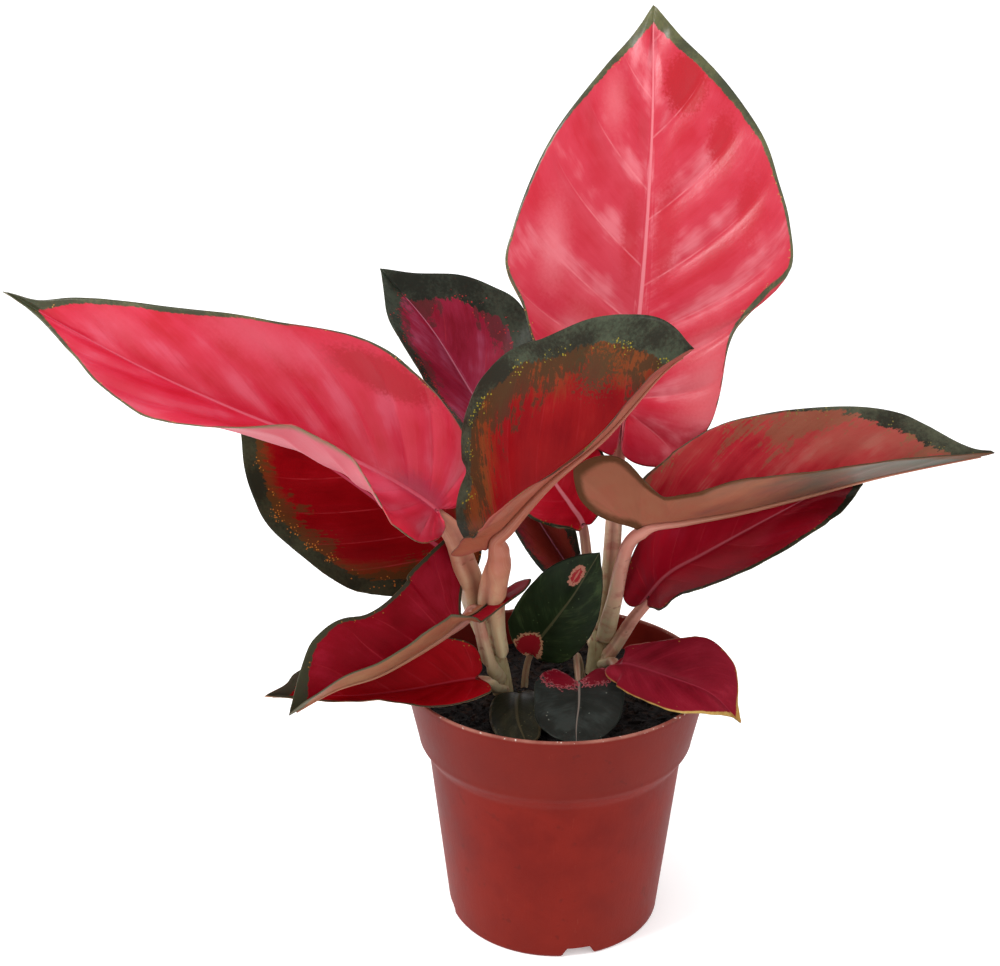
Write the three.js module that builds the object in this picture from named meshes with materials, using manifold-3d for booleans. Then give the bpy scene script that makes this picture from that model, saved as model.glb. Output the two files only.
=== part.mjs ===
// A red aglaonema (Chinese evergreen) growing in a terracotta-coloured plastic nursery pot.
// Millimetres, +Z up. The origin is the centre of the pot's foot, on the surface it stands on.
// +X is to the right of the front view and -Y points at the viewer.
import * as THREE from 'three';
import { mergeVertices } from 'three/addons/utils/BufferGeometryUtils.js';
import Module from 'manifold-3d';

const wasm = await Module();
wasm.setup();

// ---- driving dimensions -------------------------------------------------------------------

const CLEAR = 0.35; // air left between two pieces that touch in the real plant

const POT = {
  height: 104,
  rimRadius: 60,
  bandFoot: { radius: 54.4, z: 78 }, // lower edge of the tapering rim band
  bodyTop: { radius: 50.4, z: 70 }, // where the step under the band meets the body
  footRadius: 42.6,
  wall: 1.5,
  floor: { under: 4, over: 5.8 }, // the floor is raised inside the foot ring
  footRing: 4.5,
  bossRadius: 9,
  foot: { edge: 0.8, bevelTop: 1 }, // small bevel round the foot
  lip: { outer: 0.5, inner: 0.4, drop: 1.2 }, // the rim's edges are broken by this much
  draft: 1, // how far the boss and the foot ring taper outwards up to the floor
  stepRise: [2.5, 5.5], // heights on the curved step that get a ring of their own
  notch: { count: 4, width: 15, height: 4, taper: 3, below: 1, reach: 9, outside: 6, firstAngle: -76 },
  drain: { count: 4, radius: 4, ring: 26, depth: 8, sides: 12 },
  segments: 40,
};

const SOIL = { top: 90, mound: 1.2, lump: 0.5, wallGap: 0.6, calmEdge: 0.5, rings: 5, segments: 28 };

const BLADE = { thickness: 0.9, ruling: 1.7, sweep: 1.3, reach: 1.5, crowd: 1.25, sharpest: 0.6 };
const VEIN = { tip: 0.5, sink: 0.5, end: 0.94, taper: 0.45, settle: 3 };
const FINE = { along: 17, across: 3, stalkSteps: 7, ribSteps: 7 };
const COARSE = { along: 11, across: 2, stalkSteps: 5, ribSteps: 5 };
const STALK_SIDES = 6;
const CANE_SIDES = 10;

// Colours read by eye from the plant.
const COLOUR = {
  pot: 0x9a3b2c,
  soil: 0x17110f,
  cane: 0xb7a67e,
  pink: 0xdf3f56,
  crimson: 0x9c0f22,
  mottled: 0x8a2a22,
  darkRed: 0x6e2233,
  green: 0x24352a,
  bluegreen: 0x20302f,
  olive: 0x3f4227,
};

// ---- the canes: short upright stems that carry the leaves -----------------------------------

const CANES = {
  cane_left: {
    points: [[-20, 4, 60], [-21, 4, 92], [-24, 1, 112], [-27, -2, 128]],
    radii: [4.4, 4.4, 3.4, 2],
  },
  cane_right: {
    points: [[17, 25, 60], [17, 25, 92], [19, 22, 112], [21, 19, 126]],
    radii: [5, 5, 4, 2.2],
  },
};

// ---- the leaves -----------------------------------------------------------------------------
// stalk and rib: points that the midline passes, from the crown to the blade and on to its tip.
// face: where the upper side looks, at even steps from base to tip.
// fold and curl: how far each half lifts from flat (degrees), and how much it bends on across
// 100 mm (degrees), at even steps from base to tip.
// left and right: the outline of each half as [along, across] from the blade's base, with the
// tip up and the upper side towards the eye. A minus along is a lobe behind the base.
// wave: height, waves per side and phase of the edge. girth: stalk radius at foot and blade.

const LEAVES = [
  {
    name: 'left_leaf', crown: 'cane_left', colour: 'pink', mesh: FINE, girth: [3.5, 2.7],
    stalk: [[-25, -1, 112], [-31.5, -4, 131], [-35, -6, 148]],
    rib: [[-46, -6, 172], [-81, -14, 197], [-118, -20, 215], [-152, -22, 232], [-199, -15, 256]],
    face: [[0.4, -0.65, 0.65], [0.4, -0.65, 0.65]],
    fold: { left: [33, 30, 20, 20, 28, 33, 33, 33, 33], right: [33, 33] },
    curl: { left: [0, 40, 230, 260, 120, 0, 0, 0, 0], right: [0, 0] },
    left: [[-5, 6], [-2, 20], [8, 31], [25, 34], [60, 35], [90, 34], [114, 31], [127, 25], [140, 15],
      [153, 7], [165, 2]],
    right: [[-6, 8], [-4, 20], [10, 30], [34, 39], [54, 42], [83, 35], [112, 27], [134, 20],
      [152, 11], [164, 3]],
    wave: [1.2, 3, 0.3],
  },
  {
    name: 'centre_leaf', crown: 'cane_left', colour: 'mottled', mesh: FINE, girth: [3.6, 4.2],
    stalk: [[-22.5, -3, 112], [-24.5, -9, 130]],
    rib: [[-26, -22, 163], [-19, -31, 176], [-4, -43, 197], [15, -53, 217], [33, -61, 241],
      [43, -64, 250]],
    face: [[-0.74, -0.23, 0.63], [-0.74, -0.23, 0.63]],
    fold: { left: [48, 48], right: [78, 44, 33, 32, 33, 31, 29, 29.5, 31] },
    curl: { left: [0, 0], right: [0, 0] },
    left: [[-5, 5], [-3, 12], [5, 20], [17, 29], [32, 40], [54, 44], [77, 40], [98, 33], [110, 22],
      [118, 10]],
    right: [[-2, 5], [-4, 10], [-3, 14], [3, 12], [12, 13], [24, 18.5], [48, 29], [69, 26],
      [83, 19], [97, 12], [109, 6]],
    wave: [1.2, 2, 0.3],
  },
  {
    name: 'lower_left_leaf', crown: 'cane_left', colour: 'crimson', mesh: FINE, girth: [2.6, 2.2],
    stalk: [[-23, 4, 106], [-28, 9, 122]],
    rib: [[-34, 17, 137], [-53, 20, 151], [-77, 25, 168], [-101, 31, 183], [-130, 37, 202]],
    face: [[0, -1, 0.5], [0, -1, 0.5]],
    fold: { left: [10, 10], right: [25, 25] },
    curl: { left: [0, 0], right: [0, 0] },
    left: [[-4, 6], [8, 13], [20, 25], [33, 34], [50, 36], [74, 34], [87, 28], [98, 20], [108, 9]],
    right: [[1, 5], [6, 13], [16, 23], [30, 31], [55, 33], [85, 24], [104, 10]],
    wave: [1.2, 3, 0.3],
  },
  {
    name: 'front_left_leaf', crown: 'cane_left', colour: 'crimson', mesh: FINE, girth: [2.5, 2.1],
    stalk: [[-22, 0, 99], [-26, -10, 112], [-31, -12.5, 133.5]],
    rib: [[-36, -15, 132], [-42, -21, 128], [-55, -31, 122.5], [-66, -40, 119.5], [-80, -49, 118],
      [-95, -60, 113]],
    face: [[-0.45, -0.55, 0.75], [-0.16, -0.27, 0.95], [-0.16, -0.27, 0.95]],
    fold: { left: [24, 56, 54, 52, 51, 50, 49, 48, 48], right: [50, 50] },
    curl: { left: [0, 0], right: [0, 0] },
    left: [[-2, 5], [-9, 5.5], [-17, 4], [-25, 4], [-29, 9], [-23, 14], [-14, 14], [-6, 15],
      [2, 16], [9, 19], [21, 23], [41, 22], [60, 20], [70, 13]],
    right: [[-4, 6], [-10, 12], [-16, 17], [-21, 23], [-17, 28], [-6, 27], [10, 24], [28, 22],
      [47, 24], [57, 20], [66, 11]],
    wave: [0.8, 2, 0.3],
  },
  {
    name: 'low_front_leaf', crown: 'cane_left', colour: 'crimson', mesh: COARSE, girth: [2.4, 2],
    stalk: [[-21, 1, 94], [-24, -7, 99]],
    rib: [[-30, -22, 110], [-56, -29, 108], [-73, -34, 108], [-91, -39, 110], [-107, -44, 112]],
    face: [[0, -0.6, 0.8], [0, -0.6, 0.8]],
    fold: { left: [20, 35, 53, 53, 53], right: [30, 30] },
    curl: { left: [0, 0], right: [0, 0] },
    left: [[-3, 5], [0, 10], [14, 15], [39, 15], [62, 9]],
    right: [[-3, 5], [2, 14], [24, 20], [49, 18], [68, 9], [73, 4]],
    wave: [0.8, 2, 0.3],
  },
  {
    name: 'top_leaf', crown: 'cane_right', colour: 'pink', mesh: FINE, girth: [3.4, 2.5],
    stalk: [[19, 22, 112], [21, 19, 135], [22, 17, 160], [23, 19.5, 183]],
    rib: [[25, 15.5, 205], [28, 17, 225], [31, 22, 262], [33, 34, 310], [33, 52, 352]],
    face: [[0, -1, 0.1], [0, -1, 0.3]],
    fold: { left: [16, 5, 0], right: [16, 5, 0] },
    curl: { left: [0, 10, 0], right: [0, 10, 0] },
    left: [[-8, 0.6], [-17, 1.6], [-16, 7], [-11, 14], [5, 29], [26, 40], [39, 45], [53, 52], [67, 50],
      [86, 44], [105, 35], [128, 19], [144, 6]],
    right: [[-8, 0.6], [-17, 2], [-20, 12], [-15, 24], [3, 33], [33, 35], [49, 45], [59, 54],
      [74, 52], [88, 47], [105, 40], [127, 24], [140, 11]],
    wave: [1.2, 3, 0.1],
  },
  {
    name: 'right_leaf', crown: 'cane_right', colour: 'mottled', mesh: FINE, girth: [3.4, 2.6],
    stalk: [[20, 21, 108], [22.5, 12.5, 127], [25.5, 6, 148]],
    rib: [[30, 1, 163], [48, -4, 169], [68, -9, 175], [92, -13, 183], [118, -14, 191],
      [159, -8, 198]],
    face: [[-0.3, -0.25, 0.92], [-0.3, -0.25, 0.92]],
    fold: { left: [55, 55], right: [92, 59, 51, 54, 52, 49, 46, 44, 40] },
    curl: { left: [0, 0], right: [0, 0] },
    left: [[0, 6], [8, 18], [22, 27], [39, 33], [60, 32], [88, 27], [104, 22], [113, 16], [127, 4]],
    right: [[-7, 12], [-8, 23], [-4, 31], [2, 37], [8, 37], [12, 28], [15, 23], [22, 23], [30, 27],
      [39, 33], [50, 33], [66, 30], [80, 27], [96, 20], [114, 9]],
    wave: [1, 2, 0.3],
  },
  {
    name: 'small_back_leaf', crown: 'cane_right', colour: 'crimson', mesh: COARSE, girth: [2.3, 1.9],
    stalk: [[18, 26, 104], [15, 25, 124], [12, 22, 142]],
    rib: [[10, 20, 157], [5, 18, 166], [-2, 16, 177], [-9, 16, 191], [-15, 20, 207]],
    face: [[0.1, -1, 0.3], [0.1, -1, 0.3]],
    fold: { left: [20, 10], right: [20, 10] },
    curl: { left: [0, 0], right: [0, 0] },
    left: [[-1, 3], [6, 8], [14, 14], [30, 19], [46, 14]],
    right: [[0, 4], [6, 12], [17, 20], [30, 22], [46, 14]],
    wave: [0.8, 2, 0.3],
  },
  {
    name: 'back_leaf', crown: 'cane_right', colour: 'darkRed', mesh: FINE, girth: [2.6, 2.2],
    stalk: [[17, 28, 99], [12, 42, 106]],
    rib: [[9, 55, 117], [-7, 59, 142], [-18, 63, 162], [-26, 68, 179], [-38, 76, 196],
      [-55, 84, 221], [-77, 94, 244]],
    face: [[0.1, -0.95, 0.3], [0.5, -0.76, 0.4], [0.5, -0.76, 0.4]],
    fold: { left: [66, 50, 32, 32], right: [84, 70, 32, 32] },
    curl: { left: [0, 0], right: [0, 0] },
    left: [[-5, 6], [-2, 15], [18, 26], [40, 31], [82, 32], [111, 29], [126, 27], [139, 20], [151, 8]],
    right: [[-5, 6], [-2, 15], [16, 23], [31, 27], [73, 33], [102, 36], [116, 37], [125, 32],
      [135, 24], [147, 10]],
    wave: [1.2, 3, 0.3],
  },
  {
    name: 'lower_right_leaf', crown: 'cane_right', colour: 'crimson', mesh: FINE, girth: [2.6, 2.2],
    stalk: [[19, 23, 97], [23, 18, 104]],
    rib: [[36, 12, 130], [44, 8, 142], [56, 3, 152], [80, -8, 172], [97, -9, 182], [112, -10, 186]],
    face: [[-0.6, -0.68, 0.41], [-0.6, -0.68, 0.41]],
    fold: { left: [5, 5], right: [38, 38] },
    curl: { left: [0, 0], right: [0, 0] },
    left: [[-8, 2], [-9, 8], [-2, 13], [13, 20], [36, 26], [62, 23], [82, 13]],
    right: [[0, 6], [6, 14], [13, 20], [23, 19], [39, 23], [57, 25], [72, 24], [82, 21], [91, 14]],
    wave: [0.8, 2, 0.3],
  },
  {
    name: 'front_right_leaf', crown: 'cane_right', colour: 'crimson', mesh: COARSE, girth: [2.2, 1.8],
    stalk: [[19, 21, 96], [22, 10, 102]],
    rib: [[24, -9, 111], [29, -14, 113], [43, -22, 112], [58, -29, 109], [69, -35, 100]],
    face: [[0, -0.6, 0.8], [0.2, -0.6, 0.7]],
    fold: { left: [10, 10], right: [10, 10] },
    curl: { left: [0, 0], right: [0, 0] },
    left: [[1, 3], [8, 9], [18, 14], [31, 19], [40, 16], [45, 11], [50, 5]],
    right: [[0, 4], [5, 10], [14, 14], [24, 15], [34, 14], [45, 9], [52, 2]],
    wave: [0.8, 2, 0.3],
  },
  {
    name: 'green_leaf', crown: 'soil', colour: 'green', mesh: COARSE, girth: [1.4, 1.2],
    stalk: [[-13, 9, 80], [-12, 7, 98]],
    rib: [[-10, 2, 109], [-6, 0, 117], [0, -3, 127], [7, -6, 139], [16, -9, 157]],
    face: [[-0.1, -1, 0.3], [-0.1, -1, 0.3]],
    fold: { left: [10, 10], right: [10, 10] },
    curl: { left: [0, 0], right: [0, 0] },
    left: [[-1, 3], [6, 13], [12, 15], [24, 16], [39, 14], [50, 7]],
    right: [[0, 6], [8, 13], [20, 15], [30, 14], [40, 10], [48, 6]],
    wave: [0.5, 2, 0.3],
  },
  {
    name: 'round_leaf', crown: 'soil', colour: 'bluegreen', mesh: COARSE, girth: [1.4, 1.2],
    stalk: [[12, 12, 80], [10, 9, 100], [8, 1, 109]],
    rib: [[9, -12, 104], [9, -24, 101], [8, -36, 98], [8, -47, 96]],
    face: [[0, -0.3, 0.95], [0, -0.3, 0.95]],
    fold: { left: [10, 10], right: [10, 10] },
    curl: { left: [0, 0], right: [0, 0] },
    left: [[-6, 8], [-4, 13], [4, 17], [15, 17], [26, 15], [34, 8]],
    right: [[-6, 8], [-4, 13], [4, 17], [15, 17], [26, 15], [34, 8]],
    wave: [0.5, 2, 0.3],
  },
  {
    name: 'olive_leaf', crown: 'soil', colour: 'olive', mesh: COARSE, girth: [1.8, 1.5],
    stalk: [[-12, 1, 80], [-12, -1, 91]],
    rib: [[-14, -6, 96], [-15, -15, 97], [-14, -28, 95], [-10, -43, 93]],
    face: [[-0.2, -0.5, 0.8], [0, -0.5, 0.8]],
    fold: { left: [5, 5], right: [5, 5] },
    curl: { left: [-60, -60], right: [-60, -60] },
    left: [[-2, 3], [6, 8], [20, 9], [34, 6]],
    right: [[-2, 4], [6, 9], [20, 10.5], [34, 7]],
    wave: [0.4, 2, 0.3],
  },
];

// ---- small helpers --------------------------------------------------------------------------

const vec = (p) => new THREE.Vector3(...p);
const degrees = (angle) => THREE.MathUtils.degToRad(angle);

// Reads a list of values spread evenly over 0..1, straight between its entries.
function readList(list, share) {
  const x = THREE.MathUtils.clamp(share, 0, 1) * (list.length - 1);
  const i = Math.min(Math.floor(x), list.length - 2);
  return THREE.MathUtils.lerp(list[i], list[i + 1], x - i);
}

// A closed mesh of plain points and triangles as a solid for cutting and joining.
function toSolid(positions, triangles) {
  return new wasm.Manifold(new wasm.Mesh({
    numProp: 3,
    vertProperties: Float32Array.from(positions),
    triVerts: Uint32Array.from(triangles),
  }));
}

function geometryToSolid(geometry) {
  const plain = geometry.clone();
  plain.deleteAttribute('normal');
  plain.deleteAttribute('uv');
  const merged = mergeVertices(plain, 1e-4);
  return toSolid(merged.getAttribute('position').array, merged.index.array);
}

function solidToGeometry(solid) {
  const mesh = solid.getMesh();
  const geometry = new THREE.BufferGeometry();
  geometry.setAttribute('position', new THREE.BufferAttribute(mesh.vertProperties, 3));
  geometry.setIndex(new THREE.BufferAttribute(mesh.triVerts, 1));
  geometry.computeVertexNormals();
  return geometry;
}

// The biggest piece of a solid that a cut has split, so that no loose scrap stays.
function biggestPiece(solid) {
  return solid.decompose().reduce((best, piece) => (piece.volume() > best.volume() ? piece : best));
}

// A round bar along a route, its radius changing from point to point, its ends closed. grow makes
// it fatter and longer, for cutting the room that another piece needs.
function roundBar(route, radii, sides, grow = 0) {
  const positions = [];
  const triangles = [];
  const last = route.length - 1;
  const centres = route.map((point) => point.clone());
  centres[0].addScaledVector(route[0].clone().sub(route[1]).normalize(), grow);
  centres[last].addScaledVector(route[last].clone().sub(route[last - 1]).normalize(), grow);
  let side = new THREE.Vector3(1, 0, 0);
  centres.forEach((centre, i) => {
    const ahead = centres[Math.min(i + 1, last)].clone().sub(centres[Math.max(i - 1, 0)]).normalize();
    side = side.clone().addScaledVector(ahead, -side.dot(ahead)).normalize();
    const across = ahead.clone().cross(side);
    for (let k = 0; k < sides; k += 1) {
      const angle = (2 * Math.PI * k) / sides;
      const point = centre.clone()
        .addScaledVector(side, (radii[i] + grow) * Math.cos(angle))
        .addScaledVector(across, (radii[i] + grow) * Math.sin(angle));
      positions.push(...point.toArray());
    }
  });
  for (let i = 0; i < last; i += 1) {
    for (let k = 0; k < sides; k += 1) {
      const a = i * sides + k;
      const b = i * sides + ((k + 1) % sides);
      triangles.push(a, b, b + sides, a, b + sides, a + sides);
    }
  }
  const foot = positions.length / 3;
  positions.push(...centres[0].toArray(), ...centres[last].toArray());
  for (let k = 0; k < sides; k += 1) {
    const next = (k + 1) % sides;
    triangles.push(foot, next, k, foot + 1, last * sides + k, last * sides + next);
  }
  return toSolid(positions, triangles);
}

// ---- a leaf ---------------------------------------------------------------------------------

// The midline of a leaf with its frame: where it runs, where its face looks, which way is right.
class Midline {
  constructor(leaf) {
    const points = [...leaf.stalk, ...leaf.rib].map(vec);
    this.leaf = leaf;
    this.curve = new THREE.CatmullRomCurve3(points, false, 'catmullrom', 0.5);
    this.curve.arcLengthDivisions = 600;
    const lengths = this.curve.getLengths();
    const atBase = (leaf.stalk.length / (points.length - 1)) * this.curve.arcLengthDivisions;
    this.baseShare = lengths[Math.round(atBase)] / lengths[lengths.length - 1];
    this.stalkLength = lengths[Math.round(atBase)];
    this.length = lengths[lengths.length - 1] - this.stalkLength;
  }

  // Position, direction, face normal and right-hand side at a distance from the blade's base.
  // Behind the base and past the tip the frame runs straight on.
  frame(along) {
    const inside = THREE.MathUtils.clamp(along, 0, this.length);
    const share = this.baseShare + (1 - this.baseShare) * (inside / this.length);
    const ahead = this.curve.getTangentAt(Math.min(share, 1));
    const place = this.curve.getPointAt(Math.min(share, 1)).addScaledVector(ahead, along - inside);
    const looks = this.leaf.face.map((face) => vec(face).normalize().toArray());
    const look = [0, 1, 2].map((axis) => readList(looks.map((f) => f[axis]), inside / this.length));
    const normal = vec(look);
    normal.addScaledVector(ahead, -normal.dot(ahead)).normalize();
    return { place, ahead, normal, right: ahead.clone().cross(normal) };
  }

  // A point of the blade: across is measured round the arc that the half bends in.
  blade(along, across, side) {
    const { place, normal, right } = this.frame(along);
    const key = side > 0 ? 'right' : 'left';
    const share = along / this.length;
    const fold = degrees(readList(this.leaf.fold[key], share));
    const bend = degrees(readList(this.leaf.curl[key], share)) / 100 || 1e-6;
    const out = (Math.sin(fold + bend * across) - Math.sin(fold)) / bend;
    const up = (Math.cos(fold) - Math.cos(fold + bend * across)) / bend;
    return place.addScaledVector(right, side * out).addScaledVector(normal, up);
  }
}

// The outline of one half from the base round the lobe to the tip, with shorter steps at the lobe.
function outline(midline, side) {
  const given = side > 0 ? midline.leaf.right : midline.leaf.left;
  const points = [[0, 0], ...given, [midline.length, 0]].map(([a, b]) => new THREE.Vector3(a, b, 0));
  const curve = new THREE.CatmullRomCurve3(points, false, 'catmullrom', 0.5);
  curve.arcLengthDivisions = 600;
  const { along } = midline.leaf.mesh;
  return Array.from({ length: along + 1 }, (_, row) => curve.getPointAt((row / along) ** BLADE.crowd));
}

// One half of the blade as rows from the midrib to the edge. Each row follows a side vein: it
// leaves the midrib further down and sweeps forward.
function halfBlade(midline, side) {
  const { along, across } = midline.leaf.mesh;
  const [height, waves, phase] = midline.leaf.wave;
  return outline(midline, side).map((edge, row) => {
    const share = (row / along) ** BLADE.crowd;
    const start = midline.length * share ** BLADE.ruling;
    return Array.from({ length: across + 1 }, (_, step) => {
      const t = step / across;
      const a = start + (edge.x - start) * t ** BLADE.sweep;
      const b = edge.y * (1 - (1 - t) ** BLADE.reach);
      const lift = height * Math.sin(2 * Math.PI * (waves * share + phase) + side) * t * t;
      return midline.blade(a, b, side).addScaledVector(midline.frame(a).normal, lift);
    });
  });
}

// The whole blade as a closed sheet of even thickness, both faces split alike.
function bladeSolid(midline) {
  const { along, across } = midline.leaf.mesh;
  const points = [];
  const add = (point) => points.push(point) - 1;
  const halves = [1, -1].map((side) => ({ side, rows: halfBlade(midline, side) }));
  const rib = halves[0].rows.map((row) => add(row[0]));
  const faces = [];
  const edges = halves.map(({ side, rows }) => {
    const index = rows.map((row, r) => row.map((point, step) => {
      const onRib = step === 0 || r === 0 || r === along;
      return onRib ? rib[r] : add(point);
    }));
    for (let r = 0; r < along; r += 1) {
      for (let s = 0; s < across; s += 1) {
        const [a, b, c, d] = [index[r][s], index[r][s + 1], index[r + 1][s + 1], index[r + 1][s]];
        const pair = [[a, b, c], [a, c, d]].filter((t) => new Set(t).size === 3);
        pair.forEach((t) => faces.push(side > 0 ? t : [t[0], t[2], t[1]]));
      }
    }
    return index.map((row) => row[across]);
  });
  const ring = [...edges[0], ...edges[1].slice(1, -1).reverse()];

  // Each point's normal is the mean of its faces'. On the folded midrib it is lengthened, so
  // that the sheet keeps its thickness there.
  const normals = points.map(() => new THREE.Vector3());
  const faceNormals = faces.map(([a, b, c]) => points[b].clone().sub(points[a])
    .cross(points[c].clone().sub(points[a])).normalize());
  faces.forEach((face, f) => face.forEach((v) => normals[v].add(faceNormals[f])));
  normals.forEach((normal) => normal.normalize());
  const miter = points.map(() => 1);
  faces.forEach((face, f) => face.forEach((v) => {
    miter[v] = Math.min(miter[v], Math.max(normals[v].dot(faceNormals[f]), BLADE.sharpest));
  }));
  const half = BLADE.thickness / 2;
  const shifted = (sign) => points.flatMap((point, v) => point.clone()
    .addScaledVector(normals[v], (sign * half) / miter[v]).toArray());
  const count = points.length;
  const triangles = faces.flatMap(([a, b, c]) => [a, b, c, a + count, c + count, b + count]);
  ring.forEach((v, i) => {
    const next = ring[(i + 1) % ring.length];
    triangles.push(v, v + count, next + count, v, next + count, next);
  });
  return toSolid([...shifted(1), ...shifted(-1)], triangles);
}

// The stalk and, under the blade, the midrib that it runs on into.
function stalkSolid(midline, grow) {
  const { stalkSteps, ribSteps } = midline.leaf.mesh;
  const [foot, top] = midline.leaf.girth;
  const centres = [];
  const radii = [];
  for (let i = 0; i <= stalkSteps; i += 1) {
    const share = i / stalkSteps;
    centres.push(midline.curve.getPointAt(midline.baseShare * share));
    radii.push(THREE.MathUtils.lerp(foot, top, share));
  }
  for (let i = 1; i <= ribSteps; i += 1) {
    const share = (i / ribSteps) * VEIN.end;
    const radius = THREE.MathUtils.lerp(top, VEIN.tip, share ** VEIN.taper);
    const { place, normal } = midline.frame(midline.length * share);
    const sink = radius * VEIN.sink * Math.min(1, VEIN.settle * share);
    centres.push(place.addScaledVector(normal, -sink));
    radii.push(radius);
  }
  return roundBar(centres, radii, STALK_SIDES, grow);
}

function makeLeaf(leaf, inTheWay) {
  const midline = new Midline(leaf);
  const whole = bladeSolid(midline).add(stalkSolid(midline, 0));
  const cut = inTheWay.reduce((solid, other) => solid.subtract(other), whole);
  return { solid: biggestPiece(cut), room: stalkSolid(midline, CLEAR) };
}

// ---- canes, pot and soil --------------------------------------------------------------------

function makeCane({ points, radii }, grow) {
  const curve = new THREE.CatmullRomCurve3(points.map(vec), false, 'catmullrom', 0.5);
  const steps = 9;
  const centres = curve.getPoints(steps);
  return roundBar(centres, centres.map((_, i) => readList(radii, i / steps)), CANE_SIDES, grow);
}

function lathe(profile, segments) {
  const outlinePoints = profile.map(([r, z]) => new THREE.Vector2(r, z));
  const geometry = new THREE.LatheGeometry(outlinePoints, segments);
  geometry.rotateX(Math.PI / 2);
  return geometryToSolid(geometry);
}

// Outer radius of the pot at a height: foot to body top, the curved step, then the rim band.
function potRadius(z) {
  const { footRadius, bodyTop, bandFoot, rimRadius, height } = POT;
  if (z <= bodyTop.z) return THREE.MathUtils.lerp(footRadius, bodyTop.radius, z / bodyTop.z);
  if (z <= bandFoot.z) {
    const share = (z - bodyTop.z) / (bandFoot.z - bodyTop.z);
    return THREE.MathUtils.lerp(bodyTop.radius, bandFoot.radius, THREE.MathUtils.smoothstep(share, 0, 1));
  }
  return THREE.MathUtils.lerp(bandFoot.radius, rimRadius, (z - bandFoot.z) / (height - bandFoot.z));
}

function ringOfCutters(count, make) {
  return Array.from({ length: count }, (_, i) => make((2 * Math.PI * i) / count));
}

// Heights at which the wall gets a ring, from its foot up to the soil or the rim.
function wallHeights(bottom, top) {
  const { bodyTop, bandFoot, stepRise } = POT;
  return [bottom, bodyTop.z, ...stepRise.map((rise) => bodyTop.z + rise), bandFoot.z, top];
}

// A drain notch in the foot: a slot that narrows upwards, cut through the ring from outside.
function notchCutter() {
  const { width, height, taper, below, reach, outside } = POT.notch;
  const shape = new THREE.Shape([
    new THREE.Vector2(-width / 2, -below),
    new THREE.Vector2(width / 2, -below),
    new THREE.Vector2(width / 2 - taper, height),
    new THREE.Vector2(taper - width / 2, height),
  ]);
  const geometry = new THREE.ExtrudeGeometry(shape, { depth: reach, bevelEnabled: false });
  geometry.rotateX(Math.PI / 2);
  geometry.translate(0, outside - POT.footRadius, 0);
  return geometry;
}

function makePot() {
  const { height, wall, floor, foot, footRing, bossRadius, lip, draft, notch, drain, segments } = POT;
  const heights = wallHeights(foot.bevelTop, height - lip.drop);
  const inner = heights.slice(1, -1).reverse();
  const profile = [
    [0, 0],
    [bossRadius, 0],
    [bossRadius + draft, floor.under],
    [potRadius(0) - footRing - draft, floor.under],
    [potRadius(0) - footRing, 0],
    [potRadius(0) - foot.edge, 0],
    ...heights.map((z) => [potRadius(z), z]),
    [potRadius(height) - lip.outer, height],
    [potRadius(height) - wall + lip.inner, height],
    ...inner.map((z) => [potRadius(z) - wall, z]),
    [potRadius(floor.over) - wall, floor.over],
    [0, floor.over],
  ];
  const notches = ringOfCutters(notch.count, (turn) => {
    const geometry = notchCutter();
    geometry.rotateZ(degrees(notch.firstAngle + 90) + turn);
    return geometryToSolid(geometry);
  });
  const drains = ringOfCutters(drain.count, (turn) => {
    const geometry = new THREE.CylinderGeometry(drain.radius, drain.radius, drain.depth, drain.sides);
    geometry.rotateX(Math.PI / 2);
    geometry.translate(Math.cos(turn) * drain.ring, Math.sin(turn) * drain.ring, floor.under);
    return geometryToSolid(geometry);
  });
  return [...notches, ...drains].reduce((pot, cutter) => pot.subtract(cutter), lathe(profile, segments));
}

// Height of the lumps on the potting mix, between about -1.5 and 1.5.
function lumps(x, y) {
  return Math.sin(0.31 * x + 1.1) * Math.cos(0.27 * y - 0.4) + 0.5 * Math.sin(0.53 * (x - y));
}

// The potting mix fills the pot to a lumpy top, with plain holes where stems stand in it. Its
// sides stay clear of the flats between the corners of the pot's wall.
function makeSoil(holes) {
  const { rings, segments, top, mound, lump, wallGap, calmEdge } = SOIL;
  const gap = POT.wall + CLEAR + wallGap;
  const corner = 1 / Math.cos(Math.PI / POT.segments);
  const sides = wallHeights(POT.floor.over + CLEAR, top).map((z) => [potRadius(z) * corner - gap, z]);
  const edge = sides[sides.length - 1][0];
  const crown = Array.from({ length: rings - 1 }, (_, i) => [(edge * (rings - 1 - i)) / rings, top]);
  const outlinePoints = [[0, sides[0][1]], ...sides, ...crown, [0, top]]
    .map(([r, z]) => new THREE.Vector2(r, z));
  const geometry = new THREE.LatheGeometry(outlinePoints, segments);
  geometry.rotateX(Math.PI / 2);
  const position = geometry.getAttribute('position');
  for (let i = 0; i < position.count; i += 1) {
    const [x, y, z] = [position.getX(i), position.getY(i), position.getZ(i)];
    const radius = Math.hypot(x, y);
    if (z > top - 0.01 && radius < edge - calmEdge) {
      position.setZ(i, z + mound * (1 - (radius / edge) ** 2) + lump * lumps(x, y));
    }
  }
  return holes.reduce((soil, hole) => soil.subtract(hole), geometryToSolid(geometry));
}

// ---- the plant in its pot -------------------------------------------------------------------

const group = new THREE.Group();

function place(name, solid, colour, roughness) {
  const material = new THREE.MeshStandardMaterial({ color: colour, roughness, metalness: 0 });
  const mesh = new THREE.Mesh(solidToGeometry(solid), material);
  mesh.name = name;
  group.add(mesh);
}

const taken = { soil: [] };
const holes = [];
Object.entries(CANES).forEach(([name, cane]) => {
  place(name, makeCane(cane, 0), COLOUR.cane, 0.5);
  taken[name] = [makeCane(cane, CLEAR)];
  holes.push(makeCane(cane, CLEAR));
});

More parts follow.
